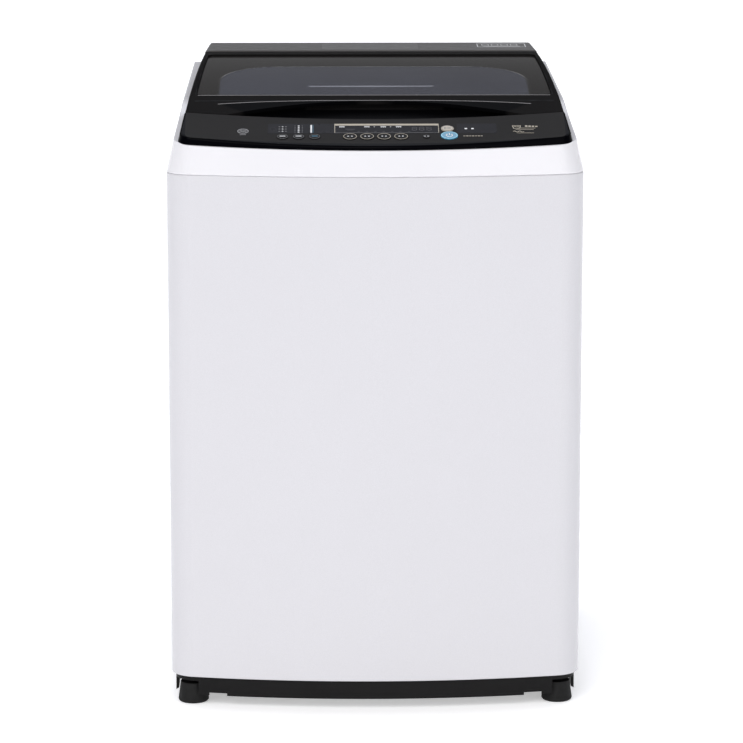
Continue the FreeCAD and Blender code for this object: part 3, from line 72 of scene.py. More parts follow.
# The finger scoop's black lens in plan, glossy black and also painted deep black as the shade of the scoop's
# recess: a flat back edge that droops at the ends, and round ends.
SCOOP_HALF, SCOOP_FLAT, SCOOP_BACK, SCOOP_DROOP = 218, 150, -150, 10
SCOOP_FRONT, SCOOP_CLIMB = -203, 38

# The black top's skin line behind the panel: one shallow arc over the lid, then a flat deck.
SKIN_KNEE = (-130, 883)
SKIN_BACK = (195, 914.5)
SKIN_RADIUS = 2047
SKIN_END = (340, 917)

# The smoked window: its outline in plan, how far its two faces lie below the skin line, the arch
# moulded into it, the sunk step at the arch's front, and the bead along both.
WINDOW_FRONT, WINDOW_BACK = -129.6, 149.6
WINDOW_FRONT_HALF, WINDOW_BACK_HALF, WINDOW_CORNER = 259.6, 250.1, 11.6
WINDOW_TAPER = (WINDOW_FRONT_HALF - WINDOW_BACK_HALF) / (WINDOW_BACK - WINDOW_FRONT)
GLASS_TOP, GLASS_BOTTOM = 2.5, 5.5
ARCH_FLAT, ARCH_BACK, ARCH_SPREAD, ARCH_DEPTH = 142, 46, 85, 98
ARCH_MIDDLE = ARCH_BACK - ARCH_DEPTH
ARCH_HEIGHT, ARCH_EASE, ARCH_BEAD = 1.1, 5, 1.0
STEP_LEFT, STEP_RIGHT, STEP_BACK = -99, 91, -78
STEP_HEIGHT, STEP_EASE, STEP_BEAD, STEP_BEAD_EXTRA, STEP_BEAD_SPREAD = 0.7, 4, 0.25, 0.35, 35
BEAD_WIDTH = 2.2

# Rows of buttons on the panel, up its slope.
OPTION_ROW, START_ROW, POWER_ROW = 22.5, 49.5, 26.0

# A printed mark reaches this far below and above its surface.
MARK_DEPTH, MARK_HEIGHT = 0.12, 0.14


# ---------------------------------------------------------------- camera, floor and light

def add_camera():
    """A long lens five metres in front of the foot of the cabinet, turned about that foot."""
    pitch, turn = math.radians(11), math.radians(-0.8)
    front_foot = Vector((0, -0.305, 0))
    aside, distance, height = -0.0064, 5.0, 1.4763
    data = bpy.data.cameras.new("camera")
    data.lens = 171.96
    data.sensor_width = 36
    camera = bpy.data.objects.new("camera", data)
    camera.location = front_foot + Matrix.Rotation(turn, 3, "Z") @ Vector((aside, -distance, height))
    camera.rotation_euler = (math.pi / 2 - pitch, 0, turn)
    bpy.context.scene.collection.objects.link(camera)
    bpy.context.scene.camera = camera


def add_sun(name, direction, strength, width, colour):
    """Soft light that comes from a direction; width is the angle that the source fills."""
    data = bpy.data.lights.new(name, "SUN")
    data.energy = strength
    data.angle = math.radians(width)
    data.color = colour
    light = bpy.data.objects.new(name, data)
    light.rotation_euler = Vector(direction).to_track_quat("Z", "Y").to_euler()
    bpy.context.scene.collection.objects.link(light)


def add_lights():
    add_sun("key_light", (-0.5, -1.0, 0.95), 1.6, 50, (1.0, 0.99, 1.0))
    add_sun("fill_light", (0.6, -1.0, 0.7), 0.8, 60, (0.98, 0.98, 1.0))
    add_sun("left_rear_light", (-1.0, 0.55, 0.9), 0.2, 50, (0.95, 0.97, 1.0))
    add_sun("right_rear_light", (1.0, 0.7, 0.8), 0.2, 50, (0.95, 0.97, 1.0))
    add_sun("edge_light", (-0.02, 0.53, 0.85), 0.12, 4, (1.0, 1.0, 1.0))


def add_world():
    """A pale studio: bright near the horizon, dim overhead, with a soft box high behind."""
    world = bpy.data.worlds.new("studio")
    world.use_nodes = True
    bpy.context.scene.world = world
    tree = world.node_tree
    place = tree.nodes.new("ShaderNodeTexCoord")
    split = tree.nodes.new("ShaderNodeSeparateXYZ")
    ramp = tree.nodes.new("ShaderNodeValToRGB")
    tree.links.new(place.outputs["Generated"], split.inputs[0])
    tree.links.new(split.outputs["Z"], ramp.inputs["Fac"])
    box = tree.nodes.new("ShaderNodeMath")
    box.operation = "MULTIPLY"
    box_behind, box_above = (0.08, 0.25), (0.54, 0.64)
    for socket, part, edges in ((0, "Y", box_behind), (1, "Z", box_above)):
        fade = tree.nodes.new("ShaderNodeMapRange")
        fade.interpolation_type = "SMOOTHSTEP"
        fade.inputs["From Min"].default_value, fade.inputs["From Max"].default_value = edges
        tree.links.new(split.outputs[part], fade.inputs["Value"])
        tree.links.new(fade.outputs["Result"], box.inputs[socket])
    # A colour mix has its factor at input 0, its colours at 6 and 7, and its result at output 2.
    glow = tree.nodes.new("ShaderNodeMix")
    glow.data_type = "RGBA"
    glow.inputs[7].default_value = (1.3, 1.35, 1.5, 1)
    tree.links.new(box.outputs[0], glow.inputs[0])
    tree.links.new(ramp.outputs["Color"], glow.inputs[6])
    tree.links.new(glow.outputs[2], tree.nodes["Background"].inputs["Color"])
    bands = ((0.0, 0.95), (0.08, 0.8), (0.17, 0.13), (0.45, 0.10), (0.62, 0.05), (0.85, 0.05), (1.0, 0.2))
    cool_white = (0.98, 0.985, 1.0)
    stops = ramp.color_ramp.elements
    while len(stops) < len(bands):
        stops.new(1.0)
    for stop, (height, brightness) in zip(stops, bands):
        stop.position = height
        stop.color = (*(brightness * part for part in cool_white), 1)
    bpy.context.scene.view_settings.view_transform = "Standard"


# ---------------------------------------------------------------- finishes

class Finish:
    """A procedural material whose pattern stays on the piece that wears it."""

    def __init__(self, name, **sockets):
        self.material = bpy.data.materials.new(name)
        self.material.use_nodes = True
        self.tree = self.material.node_tree
        self.shader = self.tree.nodes["Principled BSDF"]
        self.place = self.tree.nodes.new("ShaderNodeTexCoord").outputs["Object"]
        for socket, value in sockets.items():
            self.shader.inputs[socket.replace("_", " ")].default_value = value

    def node(self, kind, inputs, **settings):
        """Adds a node. Each input is a number, a colour or another node's socket."""
        item = self.tree.nodes.new("ShaderNode" + kind)
        for name, value in settings.items():
            setattr(item, name, value)
        for name, value in inputs.items():
            if isinstance(value, bpy.types.NodeSocket):
                self.tree.links.new(value, item.inputs[name])
            else:
                item.inputs[name].default_value = value
        return item

    def math(self, operation, first, second=0.0):
        return self.node("Math", {0: first, 1: second}, operation=operation).outputs[0]

    def stretched(self, x, y, z):
        return self.node("Mapping", {"Vector": self.place, "Scale": (x, y, z)}).outputs[0]

    def noise(self, scale, detail=3.0, place=None):
        inputs = {"Vector": place or self.place, "Scale": scale, "Detail": detail}
        return self.node("TexNoise", inputs).outputs["Fac"]

    def spread(self, value, low, high, start=0.3, end=0.7):
        """Carries a value from start...end to low...high."""
        inputs = {"Value": value, "From Min": start, "From Max": end, "To Min": low, "To Max": high}
        return self.node("MapRange", inputs).outputs["Result"]

    def mix(self, factor, first, second):
        inputs = {0: factor, 6: first, 7: second}
        return self.node("Mix", inputs, data_type="RGBA").outputs[2]

    def bump(self, height, depth, under=None):
        inputs = {"Height": height, "Distance": depth, "Strength": 1.0}
        if under:
            inputs["Normal"] = under
        return self.node("Bump", inputs).outputs["Normal"]

    def wear(self, **sockets):
        """Links sockets of the shader and gives the material."""
        for socket, value in sockets.items():
            self.tree.links.new(value, self.shader.inputs[socket.replace("_", " ")])
        return self.material


def shade(colour, share):
    return (*(min(1.0, part * share) for part in colour), 1)


def moulded(name, colour, roughness, grain=0.00002, grain_scale=2500, variation=0.06, **sockets):
    """Moulded plastic: fine grain, faint flow marks and slightly uneven gloss."""
    finish = Finish(name, **sockets)
    flow = finish.noise(7, 4)
    tint = finish.mix(finish.spread(flow, 0, 1), shade(colour, 1 - variation), shade(colour, 1 + variation))
    gloss = finish.spread(finish.noise(60), roughness * 0.88, roughness * 1.14)
    normal = finish.bump(finish.noise(grain_scale, 2), grain)
    return finish.wear(Base_Color=tint, Roughness=gloss, Normal=normal)


def enamel(name, colour):
    """Baked enamel on sheet steel: fine orange peel, faint speckle and a clear top coat."""
    finish = Finish(name, Coat_Weight=0.35, Coat_Roughness=0.12, Specular_IOR_Level=0.45)
    speckle = finish.spread(finish.noise(900, 2), 0.0, 1.0, 0.35, 0.65)
    cloud = finish.spread(finish.noise(3, 3), 0.0, 1.0)
    fine = finish.mix(speckle, shade(colour, 0.965), shade(colour, 1.02))
    tint = finish.mix(finish.math("MULTIPLY", cloud, 0.25), fine, shade(colour, 0.95))
    peel = finish.bump(finish.noise(330, 3), 0.00006)
    dents = finish.bump(finish.noise(2.2, 1), 0.0004, peel)
    gloss = finish.spread(finish.noise(120), 0.30, 0.40)
    return finish.wear(Base_Color=tint, Roughness=gloss, Normal=dents)


def galvanised(name, colour):
    """Zinc coated sheet: crystals of slightly different grey."""
    finish = Finish(name, Metallic=0.85)
    cells = finish.node("TexVoronoi", {"Vector": finish.place, "Scale": 90.0}).outputs["Color"]
    cell = finish.node("SeparateColor", {"Color": cells}).outputs[0]
    tint = finish.mix(cell, shade(colour, 0.9), shade(colour, 1.1))
    gloss = finish.spread(cell, 0.34, 0.52, 0, 1)
    normal = finish.bump(finish.noise(700, 2), 0.00002)
    return finish.wear(Base_Color=tint, Roughness=gloss, Normal=normal)


def brushed(name, colour, roughness, across):
    """Metal with fine scratches; across holds the pattern's scale along X, Y and Z."""
    finish = Finish(name, Metallic=1.0, Anisotropic=0.45)
    lines = finish.noise(1.0, 4, finish.stretched(*across))
    tint = finish.mix(finish.spread(lines, 0, 1), shade(colour, 0.86), shade(colour, 1.08))
    gloss = finish.spread(lines, roughness * 0.8, roughness * 1.3)
    normal = finish.bump(lines, 0.00003)
    return finish.wear(Base_Color=tint, Roughness=gloss, Normal=normal)


def cast(name, colour):
    finish = Finish(name, Metallic=0.9)
    skin = finish.noise(260, 5)
    tint = finish.mix(finish.spread(skin, 0, 1), shade(colour, 0.85), shade(colour, 1.08))
    gloss = finish.spread(finish.noise(40), 0.42, 0.6)
    return finish.wear(Base_Color=tint, Roughness=gloss, Normal=finish.bump(skin, 0.00012))


def panel_finish(name, satin, gloss):
    """The control panel: satin on its slope, glossy where it rolls down to the front and sides."""
    finish = Finish(name, Specular_IOR_Level=0.02)
    split = finish.node("SeparateXYZ", {"Vector": finish.place})
    across, along, up = split.outputs
    back = finish.math("SUBTRACT", along, PANEL_FRONT_Y * MM)
    lift = finish.math("SUBTRACT", up, PANEL_FRONT_Z * MM)
    run = finish.math("MULTIPLY", back, PANEL_RUN / PANEL_LENGTH)
    rise = finish.math("MULTIPLY", lift, PANEL_RISE / PANEL_LENGTH)
    slope = finish.math("ADD", run, rise)
    wide = finish.math("ABSOLUTE", across)
    bow = finish.math("MULTIPLY", finish.math("POWER", wide, 2.0), SATIN_BOW)
    ahead = finish.math("SUBTRACT", slope, bow)
    beside = finish.math("SUBTRACT", SATIN_HALF * MM, wide)
    total = finish.math("ADD", ahead, beside)
    spacing = finish.math("SUBTRACT", ahead, beside)
    blend = finish.math("SQRT", finish.math("ADD", finish.math("MULTIPLY", spacing, spacing), SATIN_CORNER))
    edge_fade = 0.0016
    matte = finish.spread(finish.math("SUBTRACT", total, blend), 0, 1, 0.0, edge_fade)
    grain = finish.noise(2600, 2)
    flat = finish.mix(finish.spread(finish.noise(9, 3), 0, 1), shade(satin, 0.93), shade(satin, 1.07))
    tint = finish.mix(matte, shade(gloss, 1.0), flat)
    rough = finish.spread(matte, 0.07, 0.42, 0, 1)
    normal = finish.bump(finish.math("MULTIPLY", grain, matte), 0.00003)
    return finish.wear(Base_Color=tint, Roughness=rough, Normal=normal)


def lid_finish(name, satin, scoop_black_and_shade):
    """The lid: satin, and over the wide lens of the finger scoop glossy black, painted deep black as the
    shade of the scoop's recess.
    """
    finish = Finish(name, Specular_IOR_Level=0.006)
    across, along, _ = finish.node("SeparateXYZ", {"Vector": finish.place}).outputs
    wide = finish.math("ABSOLUTE", across)
    droop = finish.math("POWER", finish.math("DIVIDE", wide, SCOOP_HALF * MM), 3.0)
    back = finish.math("SUBTRACT", SCOOP_BACK * MM, finish.math("MULTIPLY", droop, SCOOP_DROOP * MM))
    outward = finish.math("MAXIMUM", finish.math("SUBTRACT", wide, SCOOP_FLAT * MM), 0.0)
    climb = finish.math("POWER", finish.math("DIVIDE", outward, (SCOOP_HALF - SCOOP_FLAT) * MM), 1.5)
    front = finish.math("ADD", finish.math("MULTIPLY", climb, SCOOP_CLIMB * MM), SCOOP_FRONT * MM)
    behind = finish.spread(finish.math("SUBTRACT", back, along), 0, 1, 0.0, 0.0008)
    ahead = finish.spread(finish.math("SUBTRACT", along, front), 0, 1, -0.004, 0.003)
    lens = finish.math("MULTIPLY", behind, ahead)
    plain = finish.mix(finish.spread(finish.noise(9, 3), 0, 1), shade(satin, 0.93), shade(satin, 1.07))
    # Painted shade: the scoop's lens gets a deep black that stands in for the shade in the scoop's recess,
    # as well as its glossy black.
    tint = finish.mix(lens, plain, shade(scoop_black_and_shade, 1.0))
    rough = finish.spread(lens, 0.4, 0.28, 0, 1)
    dull = finish.math("SUBTRACT", 1.0, lens)
    normal = finish.bump(finish.math("MULTIPLY", finish.noise(2600, 2), dull), 0.00003)
    return finish.wear(Base_Color=tint, Roughness=rough, Normal=normal)


def smoked_glass(name):
    """Grey tempered glass, nearly opaque: warm grey, with a painted slate-blue reflection inside its arch.
    """
    finish = Finish(name, IOR=1.5, Coat_Weight=0.2, Coat_Roughness=0.03, Transmission_Weight=0.25)
    across, along, _ = finish.node("SeparateXYZ", {"Vector": finish.place}).outputs
    outward = finish.math("SUBTRACT", finish.math("ABSOLUTE", across), ARCH_FLAT * MM)
    wing = finish.math("DIVIDE", finish.math("MAXIMUM", outward, 0.0), ARCH_SPREAD * MM)
    beyond = finish.math("SUBTRACT", along, ARCH_MIDDLE * MM)
    length = finish.math("DIVIDE", finish.math("MAXIMUM", beyond, 0.0), ARCH_DEPTH * MM)
    reach = finish.math("ADD", finish.math("MULTIPLY", wing, wing), finish.math("MULTIPLY", length, length))
    inside = finish.spread(reach, 1, 0, 0.97, 1.03)
    cloud = finish.spread(finish.noise(5, 2), 0, 1)
    # Painted reflection: the slate blue inside the arch stands in for the bright studio reflected in the
    # glass; the warm grey round it is the glass's own tone.
    cool = finish.mix(cloud, (0.078, 0.080, 0.098, 1), (0.094, 0.098, 0.122, 1))
    warm = finish.mix(cloud, (0.026, 0.0235, 0.0225, 1), (0.033, 0.030, 0.029, 1))
    tint = finish.mix(inside, warm, cool)
    gloss = finish.spread(finish.noise(35), 0.10, 0.14)
    normal = finish.bump(finish.noise(14, 1), 0.00008)
    return finish.wear(Base_Color=tint, Roughness=gloss, Normal=normal)


def rubber(name, colour):
    finish = Finish(name, Specular_IOR_Level=0.3)
    dust = finish.noise(90, 5)
    tint = finish.mix(finish.spread(dust, 0, 1), shade(colour, 0.8), shade(colour, 1.4))
    gloss = finish.spread(dust, 0.62, 0.8)
    return finish.wear(Base_Color=tint, Roughness=gloss, Normal=finish.bump(finish.noise(1500, 2), 0.00005))


def ink(name, colour, glow=0.0):
    """Printed ink, or a mark that glows: lit where a lamp stands behind it, a painted glow where it is only
    print; fine screen dots over a slightly uneven tone.
    """
    finish = Finish(name, Specular_IOR_Level=0.3, Emission_Color=shade(colour, 1.0), Emission_Strength=glow)
    dots = finish.node("TexVoronoi", {"Vector": finish.place, "Scale": 3000.0}).outputs["Distance"]
    tint = finish.mix(finish.spread(dots, 0, 1, 0.1, 0.6), shade(colour, 1.05), shade(colour, 0.82))
    gloss = finish.spread(finish.noise(400), 0.36, 0.5)
    return finish.wear(Base_Color=tint, Roughness=gloss)


def make_finishes():
    steel_lines = (3, 3, 900)
    return {
        "white_enamel": enamel("white_enamel", (0.628, 0.621, 0.645)),
        "rear_steel": galvanised("rear_steel", (0.60, 0.61, 0.62)),
        "white_plastic": moulded("white_plastic", (0.76, 0.753, 0.775), 0.24, 0.00001, 1800, 0.012,
                                 Coat_Weight=0.25, Coat_Roughness=0.1),
        "inner_white": moulded("inner_white", (0.78, 0.79, 0.80), 0.38, 0.00003, 1600, 0.02),
        "base_black": moulded("base_black", (0.0035, 0.0032, 0.0034), 0.5, 0.00006, 1400, 0.2,
                              Specular_IOR_Level=0.18),
        "foot_rubber": rubber("foot_rubber", (0.004, 0.004, 0.004)),
        "panel_black": panel_finish("panel_black", (0.0205, 0.0198, 0.0196), (0.0012, 0.0012, 0.002)),
        "deck_grey": moulded("deck_grey", (0.10, 0.0965, 0.0955), 0.46, 0.00005, 2200, 0.05,
                             Specular_IOR_Level=0.4),
        # The lid's second colour is the scoop's glossy black with painted recess shade.
        "lid_black": lid_finish("lid_black", (0.0090, 0.0084, 0.0084), (0.0014, 0.0014, 0.0018)),
        # Painted highlight: a lighter grey for the strips along the lips.
        "painted_lip_highlight": moulded("painted_lip_highlight", (0.11, 0.10, 0.094), 0.25, 0.00001, 2200, 0.04),
        # Painted shade: near black for the strips that stand in for the shade of grooves.
        "groove_shade_paint": moulded("groove_shade_paint", (0.0012, 0.0012, 0.0014), 0.5, 0.00001, 2200, 0.1,
                              Specular_IOR_Level=0.05),
        "smoked_glass": smoked_glass("smoked_glass"),
        "lens_black": moulded("lens_black", (0.0215, 0.0215, 0.0245), 0.3, 0.000005, 1200, 0.08,
                              Specular_IOR_Level=0.02),
        "button_black": moulded("button_black", (0.013, 0.0125, 0.013), 0.4, 0.00002, 2600, 0.08,
                                Specular_IOR_Level=0.04),
        "button_cream": moulded("button_cream", (0.42, 0.38, 0.31), 0.3, 0.00001, 2600, 0.04),
        "button_blue": moulded("button_blue", (0.03, 0.22, 0.36), 0.22, 0.00001, 2600, 0.06,
                               Coat_Weight=0.4, Coat_Roughness=0.05),
        "stainless": brushed("stainless", (0.66, 0.67, 0.68), 0.3, steel_lines),
        "zinc_steel": brushed("zinc_steel", (0.56, 0.56, 0.52), 0.36, (400, 400, 20)),
        "tub_grey": moulded("tub_grey", (0.42, 0.44, 0.44), 0.5, 0.00006, 1200, 0.04),
        "ring_grey": moulded("ring_grey", (0.52, 0.55, 0.58), 0.3, 0.00002, 1600, 0.03),
        "part_black": moulded("part_black", (0.02, 0.02, 0.021), 0.45, 0.00006, 1500, 0.12),
        "cast_metal": cast("cast_metal", (0.55, 0.55, 0.55)),
        "belt_rubber": rubber("belt_rubber", (0.012, 0.012, 0.012)),
        "cream_ink": ink("cream_ink", (0.50, 0.45, 0.36)),
        # White ink glows faintly: lit on the display legends and indicators, and a painted glow on the
        # printed button labels, symbols, hints and deck notice.
        "white_ink_and_glow": ink("white_ink_and_glow", (0.72, 0.73, 0.74), 0.12),
        "grey_ink": ink("grey_ink", (0.20, 0.20, 0.205)),
        "badge_ink": ink("badge_ink", (0.34, 0.34, 0.35)),
        "faint_ink": ink("faint_ink", (0.055, 0.055, 0.06)),
        # Blue ink glows faintly: a painted glow on the printed label of the third option button and on the
        # level scale.
        "blue_ink_and_glow": ink("blue_ink_and_glow", (0.06, 0.20, 0.30), 0.1),
        "lit_blue": ink("lit_blue", (0.30, 0.58, 0.72), 0.35),
        "label_grey": moulded("label_grey", (0.115, 0.112, 0.112), 0.4, 0.00001, 1500, 0.03),
    }


def dress_nodes(finishes):
    """Gives every CAD node the finish of its material slot."""
    for part in frame["record"]["subparts"]:
        mesh = nodes[part["node"]].data
        mesh.materials.clear()
        mesh.materials.append(finishes[part["material_slot"]])


# ---------------------------------------------------------------- mesh helpers

def add_piece(name, mesh, body, finish, smooth=False):
    """Makes a piece of a mesh and finish. It rides a body, unless that is None."""
    bmesh.ops.recalc_face_normals(mesh, faces=mesh.faces)
    data = bpy.data.meshes.new(name)
    mesh.to_mesh(data)
    mesh.free()
    data.materials.append(finish)
    data.polygons.foreach_set("use_smooth", [smooth] * len(data.polygons))
    piece = bpy.data.objects.new(name, data)
    bpy.context.scene.collection.objects.link(piece)
    if body:
        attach(piece, body)
    return piece


def on_panel(across, slope, lift=0.0):
    """A point on the control panel from millimetres across it, up its slope and off its skin."""
    run, rise = PANEL_RUN / PANEL_LENGTH, PANEL_RISE / PANEL_LENGTH
    return Vector((across, PANEL_FRONT_Y + slope * run - lift * rise,
                   PANEL_FRONT_Z + slope * rise + lift * run)) * MM


def skin_height(back):
    """The height of the lid's skin line behind its knee, in millimetres."""
    (y0, z0), (y1, z1) = SKIN_KNEE, SKIN_BACK
    chord = math.hypot(y1 - y0, z1 - z0)
    drop = math.sqrt(SKIN_RADIUS ** 2 - chord ** 2 / 4)
    centre_y = (y0 + y1) / 2 + (z1 - z0) / chord * drop
    centre_z = (z0 + z1) / 2 - (y1 - y0) / chord * drop
    return centre_z + math.sqrt(SKIN_RADIUS ** 2 - (back - centre_y) ** 2)


def on_lid(across, back, lift=0.0):
    """A point on the lid's skin from millimetres across it and behind the wash axis."""
    if back < SKIN_KNEE[0]:
        height = PANEL_FRONT_Z + (back - PANEL_FRONT_Y) * PANEL_RISE / PANEL_RUN
    else:
        height = skin_height(back)
    return Vector((across, back, height + lift)) * MM


def on_deck(across, back, lift=0.0):
    """A point on the rear deck from millimetres across it and behind the wash axis."""
    rise = (SKIN_END[1] - SKIN_BACK[1]) / (SKIN_END[0] - SKIN_BACK[0])
    return Vector((across, back, SKIN_BACK[1] + (back - SKIN_BACK[0]) * rise + lift)) * MM


class Marks:
    """A set of thin raised marks on one surface, collected into one piece."""

    def __init__(self, surface, level=0.0):
        self.mesh = bmesh.new()
        self.surface = surface
        self.level = level

    def loop(self, points, lift):
        return [self.mesh.verts.new(self.surface(x, y, self.level + lift)) for x, y in points]

    def wall(self, low, high):
        for index in range(len(low)):
            after = (index + 1) % len(low)
            self.mesh.faces.new((low[index], low[after], high[after], high[index]))

    def patch(self, points):
        """A closed flat shape."""
        low, high = self.loop(points, -MARK_DEPTH), self.loop(points, MARK_HEIGHT)
        self.wall(low, high)
        self.mesh.faces.new(high)
        self.mesh.faces.new(low[::-1])

    def band(self, outer, inner):
        """A closed flat shape with a hole."""
        loops = [self.loop(points, lift) for points, lift in (
            (outer, -MARK_DEPTH), (outer, MARK_HEIGHT), (inner, MARK_HEIGHT), (inner, -MARK_DEPTH))]
        for index, loop in enumerate(loops):
            self.wall(loop, loops[(index + 1) % len(loops)])

    def bar(self, x, y, width, height, corner=0.0):
        """A filled box about a point."""
        self.patch(rounded_box(x, y, width / 2, height / 2, corner))

    def frame(self, x, y, width, height, line, corner=0.0):
        """A box's outline about a point, drawn inwards from its edge."""
        self.band(rounded_box(x, y, width / 2, height / 2, corner),
                  rounded_box(x, y, width / 2 - line, height / 2 - line, max(corner - line, 0.0)))

    def disc(self, x, y, radius):
        self.patch(circle(x, y, radius))

    def ring(self, x, y, radius, line):
        self.band(circle(x, y, radius), circle(x, y, radius - line))

    def stroke(self, points, line):
        """A line of constant width through points."""
        left, right = [], []
        for index, point in enumerate(points):
            before, after = points[max(index - 1, 0)], points[min(index + 1, len(points) - 1)]
            along = Vector((after[0] - before[0], after[1] - before[1])).normalized()
            side = Vector((-along.y, along.x)) * line / 2
            left.append((point[0] + side.x, point[1] + side.y))
            right.append((point[0] - side.x, point[1] - side.y))
        self.patch(left + right[::-1])

    def wave(self, x, y, width, swing, line, turns=1.5, steps=24):
        """A wavy line about a point."""
        points = []
        for index in range(steps + 1):
            share = index / steps
            height = math.sin(share * turns * math.tau) * swing
            points.append((x + (share - 0.5) * width, y + height))
        self.stroke(points, line)

    def piece(self, name, body, slot, finish):
        return add_piece(name, self.mesh, body, finish)


def circle(x, y, radius, steps=40):
    return [(x + radius * math.cos(step * math.tau / steps), y + radius * math.sin(step * math.tau / steps))
            for step in range(steps)]


def rounded_box(x, y, half_width, half_height, corner, steps=5):
    """A rectangle's outline, with round corners unless the corner radius is zero."""
    if corner <= 0:
        steps = 0
    points = []
    for quarter, (sign_x, sign_y) in enumerate(((1, 1), (-1, 1), (-1, -1), (1, -1))):
        for step in range(steps + 1):
            angle = (quarter + (step / steps if steps else 0.5)) * math.pi / 2
            points.append((x + sign_x * (half_width - corner) + corner * math.cos(angle),
                           y + sign_y * (half_height - corner) + corner * math.sin(angle)))
    return points


# ---------------------------------------------------------------- control panel markings

def across_of(node):
    """The middle of a node across the machine, in millimetres."""
    low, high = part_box(node)
    return (low.x + high.x) / 2 / MM


def radius_of(node):
    low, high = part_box(node)
    return (high.x - low.x) / 2 / MM


def add_display(finishes):
    """The framed display: a thick bar on top, lit legends and dim figures behind them."""
    left, right, low, high = -58.6, 91.1, 36.0, 66.0
    middle, width = (left + right) / 2, right - left
    frame_marks = Marks(on_panel, LENS_PROUD)
    top_bar, side_bar, low_bar = 5.6, 0.8, 0.5
    frame_marks.bar(middle, high - top_bar / 2, width, top_bar)
    for edge in (left + side_bar / 2, right - side_bar / 2):
        frame_marks.bar(edge, (low + high - top_bar) / 2, side_bar, high - low - top_bar)
    frame_marks.piece("display_frame", "root", "button_cream", finishes["cream_ink"])
    edge_marks = Marks(on_panel, LENS_PROUD)
    edge_marks.bar(middle, low + low_bar / 2, width - 2 * side_bar, low_bar)
    edge_marks.piece("display_edge", "root", "button_cream", finishes["grey_ink"])

    legends = Marks(on_panel, LENS_PROUD)
    legend_row, dash_row, dot_row = 57.5, 54.8, 56.0
    for across in (-48.0, -12.0, 11.5, 33.5):
        legends.bar(across, legend_row, 8.0, 1.5, 0.5)
        for step in (-1, 0, 1):
            legends.bar(across + step * 2.7, dash_row, 1.9, 1.4, 0.4)
    for across in (-1.5, 22.0):
        legends.disc(across, dot_row, 0.8)
    legends.piece("display_legends", "root", "button_cream", finishes["white_ink_and_glow"])

    dim = Marks(on_panel, LENS_PROUD)
    notice_middle, digit_row, tick_row = -36.0, 49.0, 40.5
    dim.bar(notice_middle, 48.2, 14.0, 1.1, 0.4)
    dim.bar(notice_middle, 45.2, 9.0, 0.8, 0.3)
    for across in (56.0, 66.5, 77.0):
        add_digit(dim, across, digit_row, 6.0, 11.0)
    for across in range(-24, 50, 12):
        dim.bar(across, tick_row, 3.2, 0.8, 0.3)
    dim.piece("display_figures", "root", "lens_black", finishes["faint_ink"])


def add_digit(marks, x, y, width, height):
    """An unlit seven-segment figure."""
    line = 1.0
    for level in (-1, 0, 1):
        marks.bar(x, y + level * height / 2, width - 2 * line, line, 0.3)
    for side in (-1, 1):
        for level in (-1, 1):
            marks.bar(x + side * width / 2, y + level * height / 4, line, height / 2 - 1.6 * line, 0.3)


def add_indicators(finishes):
    """Lit marks left of the display: two columns of options and one tall bar."""
    white = Marks(on_panel, LENS_PROUD)
    first, second, third = (across_of(f"option_button_{number}") for number in (1, 2, 3))
    faint = Marks(on_panel, LENS_PROUD)
    for level in (41.5, 49.0, 56.5):
        for side in (-1, 1):
            faint.bar(first + side * 4.6, level, 2.6, 1.5, 0.4)
        white.bar(first, level, 2.2, 1.8, 0.6)
    for index in range(5):
        level = 38.5 + index * 5.2
        white.bar(second, level, 2.5, 2.6, 0.6)
        for side in (-1, 1):
            faint.bar(second + side * 5.2, level, 1.4, 1.4, 0.4)
    white.piece("option_indicators", "root", "button_cream", finishes["white_ink_and_glow"])
    faint.piece("option_scale", "root", "button_cream", finishes["grey_ink"])

    tall = Marks(on_panel, LENS_PROUD)
    level_middle, level_height = 49.5, 26.0
    tall.bar(third - 5.0, level_middle, 2.3, level_height, 0.8)
    tall.piece("level_bar", "root", "button_blue", finishes["white_ink_and_glow"])
    edge = Marks(on_panel, LENS_PROUD)
    edge.bar(third - 2.4, level_middle, 0.6, level_height, 0.3)
    edge.piece("level_scale", "root", "button_blue", finishes["blue_ink_and_glow"])


def add_button_marks(finishes):
    """Rings and symbols that stay on each button when it is pressed."""
    for number in (1, 2, 3):
        name = f"option_button_{number}"
        across, radius = across_of(name), radius_of(name) - 0.6
        ring = Marks(on_panel, BUTTON_PROUD)
        ring.ring(across, OPTION_ROW, radius - 0.9, 0.45)
        ring.piece(name + "_ring", name + "_body", "button_black", finishes["grey_ink"])
        label = Marks(on_panel, BUTTON_PROUD)
        label.bar(across, OPTION_ROW + 1.0, 8.4, 2.0, 0.6)
        tone = finishes["blue_ink_and_glow"] if number == 3 else finishes["white_ink_and_glow"]
        label.piece(name + "_label", name + "_body", "button_black", tone)
    for number in (1, 2, 3, 4):
        name = f"setting_button_{number}"
        across, radius = across_of(name), radius_of(name) - 0.6
        ring = Marks(on_panel, BUTTON_PROUD)
        ring.ring(across, OPTION_ROW, radius - 0.85, 0.75)
        ring.piece(name + "_ring", name + "_body", "button_cream", finishes["cream_ink"])
        label = Marks(on_panel, BUTTON_PROUD)
        for side in (-1, 1):
            label.bar(across + side * 2.6, OPTION_ROW + 0.3, 2.4, 2.2, 0.7)
        label.piece(name + "_label", name + "_body", "button_cream", finishes["white_ink_and_glow"])
    across = across_of("child_lock_button")
    lock = Marks(on_panel, BUTTON_PROUD)
    for side in (-1, 1):
        lock.bar(across + side * 2.2, OPTION_ROW, 2.0, 1.6, 0.4)
    lock.piece("child_lock_symbol", "child_lock_button_body", "button_black", finishes["white_ink_and_glow"])
    rim = Marks(on_panel, BUTTON_PROUD)
    rim.ring(across, OPTION_ROW, radius_of("child_lock_button") - 1.4, 0.35)
    rim.piece("child_lock_ring", "child_lock_button_body", "button_black", finishes["grey_ink"])


